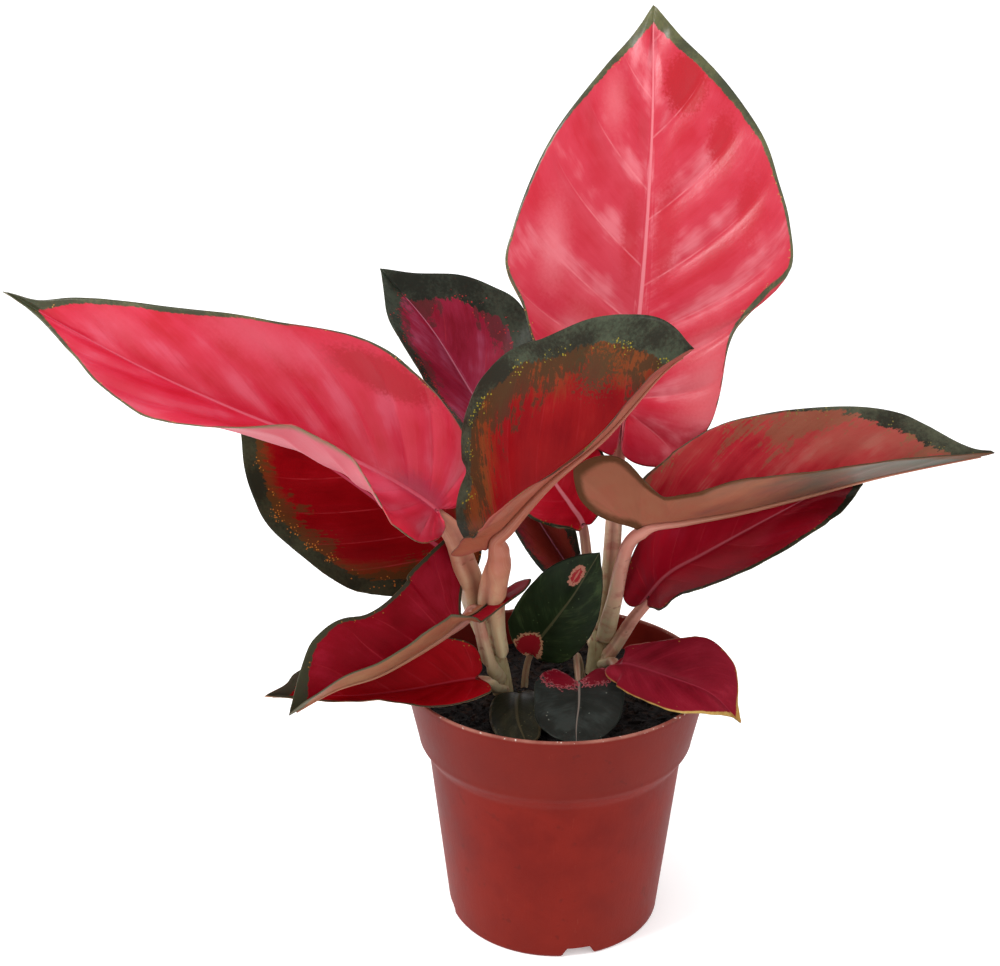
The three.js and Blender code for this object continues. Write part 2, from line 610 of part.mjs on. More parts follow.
LEAVES.forEach((leaf) => {
  const { solid, room } = makeLeaf(leaf, taken[leaf.crown]);
  place(leaf.name, solid, COLOUR[leaf.colour], 0.4);
  taken[leaf.crown].push(room);
  if (leaf.crown === 'soil') holes.push(room);
});

place('pot', makePot(), COLOUR.pot, 0.55);
place('soil', makeSoil(holes), COLOUR.soil, 0.95);

export default group;
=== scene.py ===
"""A red aglaonema (Chinese evergreen) in a terracotta-coloured plastic nursery pot.

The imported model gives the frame. Each leaf, cane, the potting mix and the pot get finer
surfaces in the same place as their solids: the same midlines and outlines, now with veins,
a rounded rim, a grooved stalk and the pattern of the living leaf. Shapes are worked out in
millimetres and stored in metres.
"""
import math

import bpy
import numpy as np
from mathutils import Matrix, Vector


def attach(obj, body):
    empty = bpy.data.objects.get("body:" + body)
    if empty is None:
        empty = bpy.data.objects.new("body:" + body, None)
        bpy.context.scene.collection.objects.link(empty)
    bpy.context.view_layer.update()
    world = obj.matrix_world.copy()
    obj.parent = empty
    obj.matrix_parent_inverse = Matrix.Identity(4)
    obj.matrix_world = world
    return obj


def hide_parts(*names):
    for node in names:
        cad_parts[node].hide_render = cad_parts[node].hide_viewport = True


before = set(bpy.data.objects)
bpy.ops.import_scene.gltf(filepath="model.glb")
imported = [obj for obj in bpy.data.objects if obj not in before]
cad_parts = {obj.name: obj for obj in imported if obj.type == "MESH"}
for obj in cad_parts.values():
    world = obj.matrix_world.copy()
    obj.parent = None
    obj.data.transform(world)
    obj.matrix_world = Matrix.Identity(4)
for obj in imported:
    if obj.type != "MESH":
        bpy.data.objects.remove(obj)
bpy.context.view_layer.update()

MM = 0.001
FULL_TURN = 2 * math.pi


def both(*values):
    """The same list for a leaf's left half (-1) and right half (1)."""
    return {-1: values, 1: values}


# ---- the plant's leaves ---------------------------------------------------------------------
# stalk and rib: points that the midline passes, from the crown to the blade and on to its tip.
# face: where the upper side looks, at even steps from base to tip.
# fold and curl, for the left half (-1) and the right half (1): how far it lifts from flat in
# degrees, and how much it bends on across 100 mm, at even steps from base to tip. A leaf
# without curl is straight across.
# left and right: the outline of each half as (along, across) from the blade's base, tip up
# and upper side towards the eye. A minus along is a lobe behind the base.
# wave: height, waves per side and phase of the edge. girth: stalk radius at foot and blade.
LEAVES = {
    "left_leaf": dict(
        stalk=[(-25, -1, 112), (-31.5, -4, 131), (-35, -6, 148)],
        rib=[(-46, -6, 172), (-81, -14, 197), (-118, -20, 215), (-152, -22, 232), (-199, -15, 256)],
        face=[(0.4, -0.65, 0.65), (0.4, -0.65, 0.65)],
        fold={-1: (33, 30, 20, 20, 28, 33, 33, 33, 33), 1: (33, 33)},
        curl={-1: (0, 40, 230, 260, 120, 0, 0, 0, 0), 1: (0, 0)},
        left=[(-5, 6), (-2, 20), (8, 31), (25, 34), (60, 35), (90, 34), (114, 31), (127, 25),
            (140, 15), (153, 7), (165, 2)],
        right=[(-6, 8), (-4, 20), (10, 30), (34, 39), (54, 42), (83, 35), (112, 27), (134, 20),
            (152, 11), (164, 3)],
        wave=(1.2, 3, 0.3),
        girth=(3.5, 2.7),
    ),
    "centre_leaf": dict(
        stalk=[(-22.5, -3, 112), (-24.5, -9, 130)],
        rib=[(-26, -22, 163), (-19, -31, 176), (-4, -43, 197), (15, -53, 217), (33, -61, 241),
            (43, -64, 250)],
        face=[(-0.74, -0.23, 0.63), (-0.74, -0.23, 0.63)],
        fold={-1: (48, 48), 1: (78, 44, 33, 32, 33, 31, 29, 29.5, 31)},
        left=[(-5, 5), (-3, 12), (5, 20), (17, 29), (32, 40), (54, 44), (77, 40), (98, 33),
            (110, 22), (118, 10)],
        right=[(-2, 5), (-4, 10), (-3, 14), (3, 12), (12, 13), (24, 18.5), (48, 29), (69, 26),
            (83, 19), (97, 12), (109, 6)],
        wave=(1.2, 2, 0.3),
        girth=(3.6, 4.2),
    ),
    "lower_left_leaf": dict(
        stalk=[(-23, 4, 106), (-28, 9, 122)],
        rib=[(-34, 17, 137), (-53, 20, 151), (-77, 25, 168), (-101, 31, 183), (-130, 37, 202)],
        face=[(0, -1, 0.5), (0, -1, 0.5)],
        fold={-1: (10, 10), 1: (25, 25)},
        left=[(-4, 6), (8, 13), (20, 25), (33, 34), (50, 36), (74, 34), (87, 28), (98, 20),
            (108, 9)],
        right=[(1, 5), (6, 13), (16, 23), (30, 31), (55, 33), (85, 24), (104, 10)],
        wave=(1.2, 3, 0.3),
        girth=(2.6, 2.2),
    ),
    "front_left_leaf": dict(
        stalk=[(-22, 0, 99), (-26, -10, 112), (-31, -12.5, 133.5)],
        rib=[(-36, -15, 132), (-42, -21, 128), (-55, -31, 122.5), (-66, -40, 119.5),
            (-80, -49, 118), (-95, -60, 113)],
        face=[(-0.45, -0.55, 0.75), (-0.16, -0.27, 0.95), (-0.16, -0.27, 0.95)],
        fold={-1: (24, 56, 54, 52, 51, 50, 49, 48, 48), 1: (50, 50)},
        left=[(-2, 5), (-9, 5.5), (-17, 4), (-25, 4), (-29, 9), (-23, 14), (-14, 14), (-6, 15),
            (2, 16), (9, 19), (21, 23), (41, 22), (60, 20), (70, 13)],
        right=[(-4, 6), (-10, 12), (-16, 17), (-21, 23), (-17, 28), (-6, 27), (10, 24),
            (28, 22), (47, 24), (57, 20), (66, 11)],
        wave=(0.8, 2, 0.3),
        girth=(2.5, 2.1),
    ),
    "low_front_leaf": dict(
        stalk=[(-21, 1, 94), (-24, -7, 99)],
        rib=[(-30, -22, 110), (-56, -29, 108), (-73, -34, 108), (-91, -39, 110), (-107, -44, 112)],
        face=[(0, -0.6, 0.8), (0, -0.6, 0.8)],
        fold={-1: (20, 35, 53, 53, 53), 1: (30, 30)},
        left=[(-3, 5), (0, 10), (14, 15), (39, 15), (62, 9)],
        right=[(-3, 5), (2, 14), (24, 20), (49, 18), (68, 9), (73, 4)],
        wave=(0.8, 2, 0.3),
        girth=(2.4, 2),
    ),
    "top_leaf": dict(
        stalk=[(19, 22, 112), (21, 19, 135), (22, 17, 160), (23, 19.5, 183)],
        rib=[(25, 15.5, 205), (28, 17, 225), (31, 22, 262), (33, 34, 310), (33, 52, 352)],
        face=[(0, -1, 0.1), (0, -1, 0.3)],
        fold=both(16, 5, 0),
        curl=both(0, 10, 0),
        left=[(-8, 0.6), (-17, 1.6), (-16, 7), (-11, 14), (5, 29), (26, 40), (39, 45),
            (53, 52), (67, 50), (86, 44), (105, 35), (128, 19), (144, 6)],
        right=[(-8, 0.6), (-17, 2), (-20, 12), (-15, 24), (3, 33), (33, 35), (49, 45),
            (59, 54), (74, 52), (88, 47), (105, 40), (127, 24), (140, 11)],
        wave=(1.2, 3, 0.1),
        girth=(3.4, 2.5),
    ),
    "right_leaf": dict(
        stalk=[(20, 21, 108), (22.5, 12.5, 127), (25.5, 6, 148)],
        rib=[(30, 1, 163), (48, -4, 169), (68, -9, 175), (92, -13, 183), (118, -14, 191),
            (159, -8, 198)],
        face=[(-0.3, -0.25, 0.92), (-0.3, -0.25, 0.92)],
        fold={-1: (55, 55), 1: (92, 59, 51, 54, 52, 49, 46, 44, 40)},
        left=[(0, 6), (8, 18), (22, 27), (39, 33), (60, 32), (88, 27), (104, 22), (113, 16),
            (127, 4)],
        right=[(-7, 12), (-8, 23), (-4, 31), (2, 37), (8, 37), (12, 28), (15, 23), (22, 23),
            (30, 27), (39, 33), (50, 33), (66, 30), (80, 27), (96, 20), (114, 9)],
        wave=(1, 2, 0.3),
        girth=(3.4, 2.6),
    ),
    "small_back_leaf": dict(
        stalk=[(18, 26, 104), (15, 25, 124), (12, 22, 142)],
        rib=[(10, 20, 157), (5, 18, 166), (-2, 16, 177), (-9, 16, 191), (-15, 20, 207)],
        face=[(0.1, -1, 0.3), (0.1, -1, 0.3)],
        fold=both(20, 10),
        left=[(-1, 3), (6, 8), (14, 14), (30, 19), (46, 14)],
        right=[(0, 4), (6, 12), (17, 20), (30, 22), (46, 14)],
        wave=(0.8, 2, 0.3),
        girth=(2.3, 1.9),
    ),
    "back_leaf": dict(
        stalk=[(17, 28, 99), (12, 42, 106)],
        rib=[(9, 55, 117), (-7, 59, 142), (-18, 63, 162), (-26, 68, 179), (-38, 76, 196),
            (-55, 84, 221), (-77, 94, 244)],
        face=[(0.1, -0.95, 0.3), (0.5, -0.76, 0.4), (0.5, -0.76, 0.4)],
        fold={-1: (66, 50, 32, 32), 1: (84, 70, 32, 32)},
        left=[(-5, 6), (-2, 15), (18, 26), (40, 31), (82, 32), (111, 29), (126, 27), (139, 20),
            (151, 8)],
        right=[(-5, 6), (-2, 15), (16, 23), (31, 27), (73, 33), (102, 36), (116, 37),
            (125, 32), (135, 24), (147, 10)],
        wave=(1.2, 3, 0.3),
        girth=(2.6, 2.2),
    ),
    "lower_right_leaf": dict(
        stalk=[(19, 23, 97), (23, 18, 104)],
        rib=[(36, 12, 130), (44, 8, 142), (56, 3, 152), (80, -8, 172), (97, -9, 182),
            (112, -10, 186)],
        face=[(-0.6, -0.68, 0.41), (-0.6, -0.68, 0.41)],
        fold={-1: (5, 5), 1: (38, 38)},
        left=[(-8, 2), (-9, 8), (-2, 13), (13, 20), (36, 26), (62, 23), (82, 13)],
        right=[(0, 6), (6, 14), (13, 20), (23, 19), (39, 23), (57, 25), (72, 24), (82, 21),
            (91, 14)],
        wave=(0.8, 2, 0.3),
        girth=(2.6, 2.2),
    ),
    "front_right_leaf": dict(
        stalk=[(19, 21, 96), (22, 10, 102)],
        rib=[(24, -9, 111), (29, -14, 113), (43, -22, 112), (58, -29, 109), (69, -35, 100)],
        face=[(0, -0.6, 0.8), (0.2, -0.6, 0.7)],
        fold=both(10, 10),
        left=[(1, 3), (8, 9), (18, 14), (31, 19), (40, 16), (45, 11), (50, 5)],
        right=[(0, 4), (5, 10), (14, 14), (24, 15), (34, 14), (45, 9), (52, 2)],
        wave=(0.8, 2, 0.3),
        girth=(2.2, 1.8),
    ),
    "green_leaf": dict(
        stalk=[(-13, 9, 80), (-12, 7, 98)],
        rib=[(-10, 2, 109), (-6, 0, 117), (0, -3, 127), (7, -6, 139), (16, -9, 157)],
        face=[(-0.1, -1, 0.3), (-0.1, -1, 0.3)],
        fold=both(10, 10),
        left=[(-1, 3), (6, 13), (12, 15), (24, 16), (39, 14), (50, 7)],
        right=[(0, 6), (8, 13), (20, 15), (30, 14), (40, 10), (48, 6)],
        wave=(0.5, 2, 0.3),
        girth=(1.4, 1.2),
    ),
    "round_leaf": dict(
        stalk=[(12, 12, 80), (10, 9, 100), (8, 1, 109)],
        rib=[(9, -12, 104), (9, -24, 101), (8, -36, 98), (8, -47, 96)],
        face=[(0, -0.3, 0.95), (0, -0.3, 0.95)],
        fold=both(10, 10),
        left=[(-6, 8), (-4, 13), (4, 17), (15, 17), (26, 15), (34, 8)],
        right=[(-6, 8), (-4, 13), (4, 17), (15, 17), (26, 15), (34, 8)],
        wave=(0.5, 2, 0.3),
        girth=(1.4, 1.2),
    ),
    "olive_leaf": dict(
        stalk=[(-12, 1, 80), (-12, -1, 91)],
        rib=[(-14, -6, 96), (-15, -15, 97), (-14, -28, 95), (-10, -43, 93)],
        face=[(-0.2, -0.5, 0.8), (0, -0.5, 0.8)],
        fold=both(5, 5),
        curl=both(-60, -60),
        left=[(-2, 3), (6, 8), (20, 9), (34, 6)],
        right=[(-2, 4), (6, 9), (20, 10.5), (34, 7)],
        wave=(0.4, 2, 0.3),
        girth=(1.8, 1.5),
    ),
}

FLAT = both(0, 0)

# How a blade is ruled. Rows follow the side veins, from the midrib to the edge.
RULING = 3.0        # power that crowds the rows' starts on the midrib towards its base
REACH = 1.5         # power by which a row turns from across to along as it nears the edge
CROWD = 1.25        # power that crowds the rows towards the base
OUTWARD = 1.2       # power that crowds the columns towards the midrib
VEIN_STEP = 1.33    # power that counts the side veins over the rows, fewer near the base
BIG_LEAF = 80       # mm from base to tip, past which a blade has the finer grid
FINE_GRID = (150, 24)
PLAIN_GRID = (110, 20)

# line: points up the middle of a cane. radii: its radius at even steps up.
CANES = {
    "cane_left": dict(
        line=[(-20, 4, 60), (-21, 4, 92), (-24, 1, 112), (-27, -2, 128)],
        radii=(4.4, 4.4, 3.4, 2),
    ),
    "cane_right": dict(
        line=[(17, 25, 60), (17, 25, 92), (19, 22, 112), (21, 19, 126)],
        radii=(5, 5, 4, 2.2),
    ),
}


# ---- small helpers --------------------------------------------------------------------------

def unit(vectors):
    """Vectors of length one."""
    vectors = np.asarray(vectors, float)
    return vectors / np.maximum(np.linalg.norm(vectors, axis=-1, keepdims=True), 1e-12)


def dot(a, b):
    """Dot product along the last axis, kept as an axis."""
    return np.sum(a * b, axis=-1, keepdims=True)


def read_list(values, share):
    """A list spread evenly over 0 to 1, read straight between its entries."""
    values = np.asarray(values, float)
    at = np.clip(share, 0, 1) * (len(values) - 1)
    low = np.minimum(at.astype(int), len(values) - 2)
    rest = at - low
    if values.ndim == 2:
        rest = rest[..., None]
    return values[low] * (1 - rest) + values[low + 1] * rest


def smooth(x, low, high):
    """Smoothstep of x from low to high."""
    share = np.clip((x - low) / (high - low), 0, 1)
    return share * share * (3 - 2 * share)


def catmull_rom(points, count):
    """A uniform Catmull-Rom curve: cubic spans whose slope at a point is half the step
    between its neighbours, with both ends run straight on."""
    p = np.asarray(points, float)
    p = np.vstack([2 * p[0] - p[1], p, 2 * p[-1] - p[-2]])
    at = np.linspace(0, len(p) - 3, count)
    i = np.minimum(at.astype(int), len(p) - 4)
    f = (at - i)[:, None]
    slope = p[i + 2] - p[i]
    bend = 2 * p[i] - 5 * p[i + 1] + 4 * p[i + 2] - p[i + 3]
    twist = 3 * p[i + 1] - p[i] - 3 * p[i + 2] + p[i + 3]
    return 0.5 * (2 * p[i + 1] + slope * f + bend * f**2 + twist * f**3)


def lengths_along(line):
    """Distance along a line of points, from its start."""
    return np.concatenate([[0], np.cumsum(np.linalg.norm(np.diff(line, axis=0), axis=1))])


def read_line(at, distances, line):
    """Points of a line at given distances."""
    return np.stack([np.interp(at, distances, line[:, k]) for k in range(line.shape[1])], -1)


def point_normals(points, faces):
    """The mean normal of the triangles round each point."""
    corners = points[faces]
    across = np.cross(corners[:, 1] - corners[:, 0], corners[:, 2] - corners[:, 0])
    total = np.zeros_like(points)
    for k in range(3):
        np.add.at(total, faces[:, k], across)
    return unit(total)


def grid_faces(rows, columns, wrap=False):
    """Two triangles for each cell of a grid of points, anticlockwise as rows go up and
    columns go right. With wrap, the last column joins the first."""
    index = np.arange(rows * columns).reshape(rows, columns)
    if wrap:
        index = np.hstack([index, index[:, :1]])
    a, b, c, d = index[:-1, :-1], index[:-1, 1:], index[1:, 1:], index[1:, :-1]
    return np.concatenate([np.stack([a, b, c], -1).reshape(-1, 3),
                           np.stack([a, c, d], -1).reshape(-1, 3)])


def closed_faces(count, around):
    """Triangles of a closed skin: count rings of points, then one point at each end."""
    k = np.arange(around)
    after = (k + 1) % around
    first = np.full(around, count * around)
    top = (count - 1) * around
    ends = [np.stack([first, after, k], -1), np.stack([first + 1, top + k, top + after], -1)]
    return np.concatenate([grid_faces(count, around, wrap=True), *ends])


def merge_points(faces, same):
    """Faces on merged points, without those that close up to a line."""
    faces = same[faces]
    open_faces = ((faces[:, 0] != faces[:, 1]) & (faces[:, 1] != faces[:, 2])
                  & (faces[:, 2] != faces[:, 0]))
    return faces[open_faces]


def new_piece(name, points, faces, node, material, attributes=None, sharp=None):
    """Makes a smooth mesh object from points in millimetres and triangles. It rides on the
    root body and stands for one node."""
    used, faces = np.unique(faces, return_inverse=True)
    faces = faces.reshape(-1, 3)
    mesh = bpy.data.meshes.new(name)
    mesh.vertices.add(len(used))
    mesh.vertices.foreach_set("co", (points[used] * MM).astype(np.float32).ravel())
    mesh.loops.add(faces.size)
    mesh.loops.foreach_set("vertex_index", faces.astype(np.int32).ravel())
    mesh.polygons.add(len(faces))
    mesh.polygons.foreach_set("loop_start", np.arange(0, faces.size, 3, dtype=np.int32))
    mesh.polygons.foreach_set("use_smooth", np.ones(len(faces), bool))
    for key, values in (attributes or {}).items():
        layer = mesh.attributes.new(key, "FLOAT_VECTOR", "POINT")
        layer.data.foreach_set("vector", values[used].astype(np.float32).ravel())
    mesh.update(calc_edges=True)
    mesh.validate()
    if sharp:
        mesh.set_sharp_from_angle(angle=math.radians(sharp))
    mesh.materials.append(material)
    piece = bpy.data.objects.new(name, mesh)
    bpy.context.scene.collection.objects.link(piece)
    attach(piece, "root")
    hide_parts(node)
    return piece


# ---- the shape of a leaf --------------------------------------------------------------------

SPAN = 200          # steps between two of a midline's given points


class Midline:
    """The line that a leaf grows along, with its frame. Distances run from the blade's base,
    so they are negative on the stalk."""

    def __init__(self, leaf):
        points = leaf["stalk"] + leaf["rib"]
        self.leaf = leaf
        self.line = catmull_rom(points, SPAN * (len(points) - 1) + 1)
        self.ahead = unit(np.gradient(self.line, axis=0))
        self.at = lengths_along(self.line)
        self.at = self.at - self.at[SPAN * len(leaf["stalk"])]
        self.foot = self.at[0]
        self.length = self.at[-1]

    def frame(self, along, lowest=0.0):
        """Place, direction, upward normal and right-hand side at distances along. Before
        lowest and past the tip the line runs straight on."""
        inside = np.clip(along, lowest, self.length)
        ahead = unit(read_line(inside, self.at, self.ahead))
        place = read_line(inside, self.at, self.line) + ahead * (along - inside)[..., None]
        look = read_list(unit(self.leaf["face"]), inside / self.length)
        normal = unit(look - ahead * dot(look, ahead))
        return place, ahead, normal, np.cross(ahead, normal)

    def blade(self, along, across, side):
        """Points of one half of the blade. It lifts by the fold angle at the midrib and bends
        on in an arc: across is measured round that arc."""
        place, _, normal, right = self.frame(along)
        share = along / self.length
        fold = np.radians(read_list(self.leaf["fold"][side], share))
        bend = np.radians(read_list(self.leaf.get("curl", FLAT)[side], share)) / 100
        bend = np.where(np.abs(bend) < 1e-6, 1e-6, bend)
        out = (np.sin(fold + bend * across) - np.sin(fold)) / bend
        up = (np.cos(fold) - np.cos(fold + bend * across)) / bend
        return place + right * (side * out)[..., None] + normal * up[..., None]


def half_blade(midline, side, share, steps):
    """One half of a blade as a grid. Rows start at share**RULING of the midrib, end on the
    outline and sweep forward; steps runs from the midrib (0) to the edge (1)."""
    leaf = midline.leaf
    given = leaf["right"] if side > 0 else leaf["left"]
    edge = catmull_rom([(0, 0), *given, (midline.length, 0)], 900)
    around = lengths_along(edge)
    rim = read_line(share * around[-1], around, edge)
    start = midline.length * share**RULING
    along = start[:, None] + (rim[:, :1] - start[:, None]) * steps
    across = rim[:, 1:] * (1 - (1 - steps)**REACH)
    height, waves, phase = leaf["wave"]
    lift = height * np.sin(FULL_TURN * (waves * share + phase) + side)[:, None] * steps**2
    points = midline.blade(along, across, side)
    points = points + midline.frame(along)[2] * lift[..., None]
    flat = np.stack([along, across], -1)
    gap = edge[None, None, ::4] - flat[:, :, None]
    to_edge = np.sqrt((gap**2).sum(-1)).min(-1)
    return points, flat, to_edge


def half_cells(midline, look, side, share, steps, seed):
    """One half of a blade as grids: its points, its relief, which is puffed up between the side
    veins, rippled at the edge and sunk along the midrib, and what the materials read."""
    points, flat, to_edge = half_blade(midline, side, share, steps)
    along, across = flat[..., 0], flat[..., 1]
    veins = look["veins"]
    along_row = np.gradient(points, share, axis=0)
    along_vein = np.gradient(points, steps, axis=1)
    area = np.linalg.norm(np.cross(along_row, along_vein), axis=-1)
    per_share = veins * VEIN_STEP * np.maximum(share, 0.02)[:, None]**(VEIN_STEP - 1)
    spacing = area / np.maximum(np.linalg.norm(along_vein, axis=-1), 1e-6) / per_share
    blank = np.zeros_like(spacing)
    uneven = 0.1 * np.sin(5.1 * share + 2.3 * seed + side)[:, None]
    vein = veins * share[:, None]**VEIN_STEP + uneven + 0.25 * (side > 0) + blank
    puff = np.abs(np.sin(math.pi * vein))**0.8 - 0.55
    puff = puff * np.minimum(spacing, 22) * look["puff"] * smooth(spacing, 4, 10)
    puff = puff * smooth(steps, 0.02, 0.25) * (1 - 0.85 * smooth(steps, 0.6, 1.0))
    ripple = 0.12 * np.sin(FULL_TURN * (10 + side) * share + seed)[:, None] * steps**8
    groove = -look["groove"] * np.exp(-(across / 1.5)**2)
    relief = puff + ripple + groove * np.clip(1.1 - along / midline.length, 0, 1)
    rib_width = 0.35 + 1.0 * np.clip(1 - along / midline.length, 0, 1)**1.3
    margin = read_list(look["margin"][side], share)[:, None]
    return dict(points=points, relief=relief, to_edge=to_edge, margin=margin + blank,
                spacing=spacing, vein=vein, step=steps + blank, along=along,
                across=side * across, rib=across / (rib_width * look["rib_width"]),
                half=side * smooth(steps, 0, 0.05) + blank)


def rim_faces(near, far, below):
    """Triangles that join a line of points on the upper side to those below them."""
    return [np.stack([near, near + below, far + below], -1),
            np.stack([near, far + below, far], -1)]


def blade_sheet(midline, look, rows, columns, seed):
    """The whole blade as a closed thin sheet: both halves in one grid from the left edge over
    the midrib to the right edge, moved out by the relief, then given a lower side and a rim
    that thins out. Returns points, triangles and what the materials read."""
    share = np.linspace(0, 1, rows + 1)**CROWD
    steps = np.linspace(0, 1, columns + 1)**OUTWARD
    left, right = (half_cells(midline, look, side, share, steps, seed) for side in (-1, 1))
    cell = {key: np.concatenate([left[key][:, ::-1][:, :-1], right[key]], axis=1)
            for key in left}
    points = cell.pop("points").reshape(-1, 3)
    cell = {key: value.ravel() for key, value in cell.items()}

    width = 2 * columns + 1
    count = len(points)
    same = np.arange(count)
    same[:width] = columns
    same[-width:] = rows * width + columns
    upper = merge_points(grid_faces(rows + 1, width), same)
    normals = point_normals(points, upper)
    points = points + normals * cell["relief"][:, None]
    rounded = np.sqrt(np.clip(cell["to_edge"] / 0.6, 0, 1))
    half_thick = normals * (look["thickness"] * (0.3 + 0.7 * rounded))[:, None] / 2
    edges = same[np.arange(count).reshape(rows + 1, width)]
    faces = np.concatenate([upper, upper[:, ::-1] + count,
                            *rim_faces(edges[:-1, -1], edges[1:, -1], count),
                            *rim_faces(edges[1:, 0], edges[:-1, 0], count)])

    zero = np.zeros(count)
    flat = np.stack([cell["along"] / 10, cell["across"] / 10, zero + seed], -1)
    vein = np.stack([cell["vein"], cell["step"], cell["half"]], -1)
    edge = np.stack([cell["to_edge"], cell["margin"], cell["spacing"]], -1)
    rib = np.stack([cell["rib"], cell["along"] / midline.length, zero], -1)
    attributes = {
        "flat": np.concatenate([flat, flat + np.array([0, 0, 0.5])]),
        "vein": np.concatenate([vein, vein]),
        "edge": np.concatenate([edge, edge]),
        "rib": np.concatenate([rib, rib + np.array([0, 0, 1])]),
    }
    return np.concatenate([points + half_thick, points - half_thick]), faces, attributes


def tube(centres, side_a, side_b, radii_a, radii_b, around):
    """A closed tube: around each centre runs a ring of points at radii_a along side_a and
    radii_b along side_b, both given for every ring and angle. Both ends close to a point."""
    angle = FULL_TURN * np.arange(around) / around
    ring = (centres[:, None] + side_a[:, None] * (radii_a * np.cos(angle))[..., None]
            + side_b[:, None] * (radii_b * np.sin(angle))[..., None])
    points = np.concatenate([ring.reshape(-1, 3), centres[:1], centres[-1:]])
    return points, closed_faces(len(centres), around)


def stalk_radii(midline, look, at, share, sheath):
    """The stalk's radius at each distance: from foot to blade, wider in its sheath and where
    it flares, then running on as the midrib, which tapers to the tip."""
    foot_radius, top_radius = midline.leaf["girth"]
    on_rib = np.clip(at / midline.length, 0, 1)
    rib_radius = 0.3 + (0.62 * top_radius - 0.3) * (1 - on_rib)**1.6
    radius = foot_radius + (top_radius - foot_radius) * share
    radius = radius + (rib_radius - radius) * smooth(at, -1, 9)
    radius = radius * (1 + 0.12 * sheath)
    return radius * (1 + look["flare"] * smooth(share, 0.15, 0.6) * (1 - smooth(at, -10, 0)))


def stalk_tube(midline, look, seed):
    """The stalk, sheathed in its lower half and grooved on its upper side, running on as the
    midrib under the blade, where it sinks below the sheet and tapers to the tip. turn is the
    angle from the groove's middle: a dent there stands between two raised lips."""
    low = np.linspace(midline.foot, -0.01, 56)
    high = midline.length * np.linspace(0, 0.97, 64)**1.3
    at = np.concatenate([low, high[1:]])
    share = np.clip(1 - at / midline.foot, 0, 1)
    sheath = look["sheath"] * (1 - smooth(share, 0.35, 0.9))
    radius = stalk_radii(midline, look, at, share, sheath)
    place, _, normal, right = midline.frame(at, midline.foot)
    place = place - normal * ((radius + 0.35) * smooth(at, -look["sink"], 2))[:, None]

    around = 28
    angle = FULL_TURN * np.arange(around) / around
    facing = angle[None] - (look["twist"] * (1 - smooth(at, -16, -4)))[:, None]
    turn = np.abs((facing + math.pi) % FULL_TURN - math.pi)
    on_stalk = 1 - smooth(at, -6, 6)
    wings = look["wings"]
    dent_depth = 0.16 + (0.14 + 0.3 * wings) * sheath
    dent = np.exp(-(turn / (0.42 + 0.3 * wings))**2) * dent_depth[:, None]
    lips = np.exp(-((turn - 0.85 - 0.35 * wings) / 0.3)**2) * (0.05 + 0.16 * sheath)[:, None]
    uneven = 0.03 * np.sin(3 * angle[None] + 0.9 * at[:, None] / 10 + seed)
    girth = radius[:, None] * (1 + on_stalk[:, None] * (lips - dent + uneven))
    points, faces = tube(place, normal, right, girth, girth * 1.04, around)

    on_rib = np.clip(at / midline.length, 0, 1)
    turns = np.concatenate([np.broadcast_to(turn, girth.shape).ravel(), [0, 0]])
    cut = np.append(np.repeat(at, around), [at[0], at[-1]])
    step = np.append(np.repeat(share + on_rib, around), [0, 2])
    wrapped = np.append(np.repeat(sheath, around), [0, 0])
    top_radius = midline.leaf["girth"][1]
    flat = np.stack([cut / 10, turns * top_radius / 10, np.full(len(cut), seed)], -1)
    return points, faces, {"flat": flat, "stalk": np.stack([step, turns, wrapped], -1)}


# ---- materials ------------------------------------------------------------------------------

STUDIO = 0.74       # share of its light that a colour keeps, since the lights are bright


def colour(red, green, blue):
    """A colour as it looks in this bright studio, on a screen (0 to 255), turned into the
    share of light that the surface gives back, in the linear numbers that shaders use."""
    values = np.array([red, green, blue]) / 255
    linear = np.where(values <= 0.04045, values / 12.92, ((values + 0.055) / 1.055)**2.4)
    return (*[float(v) * STUDIO for v in linear], 1.0)


def painted(value):
    """A (red, green, blue) on the screen as a shader's colour. Anything else stays."""
    return colour(*value) if isinstance(value, tuple) else value


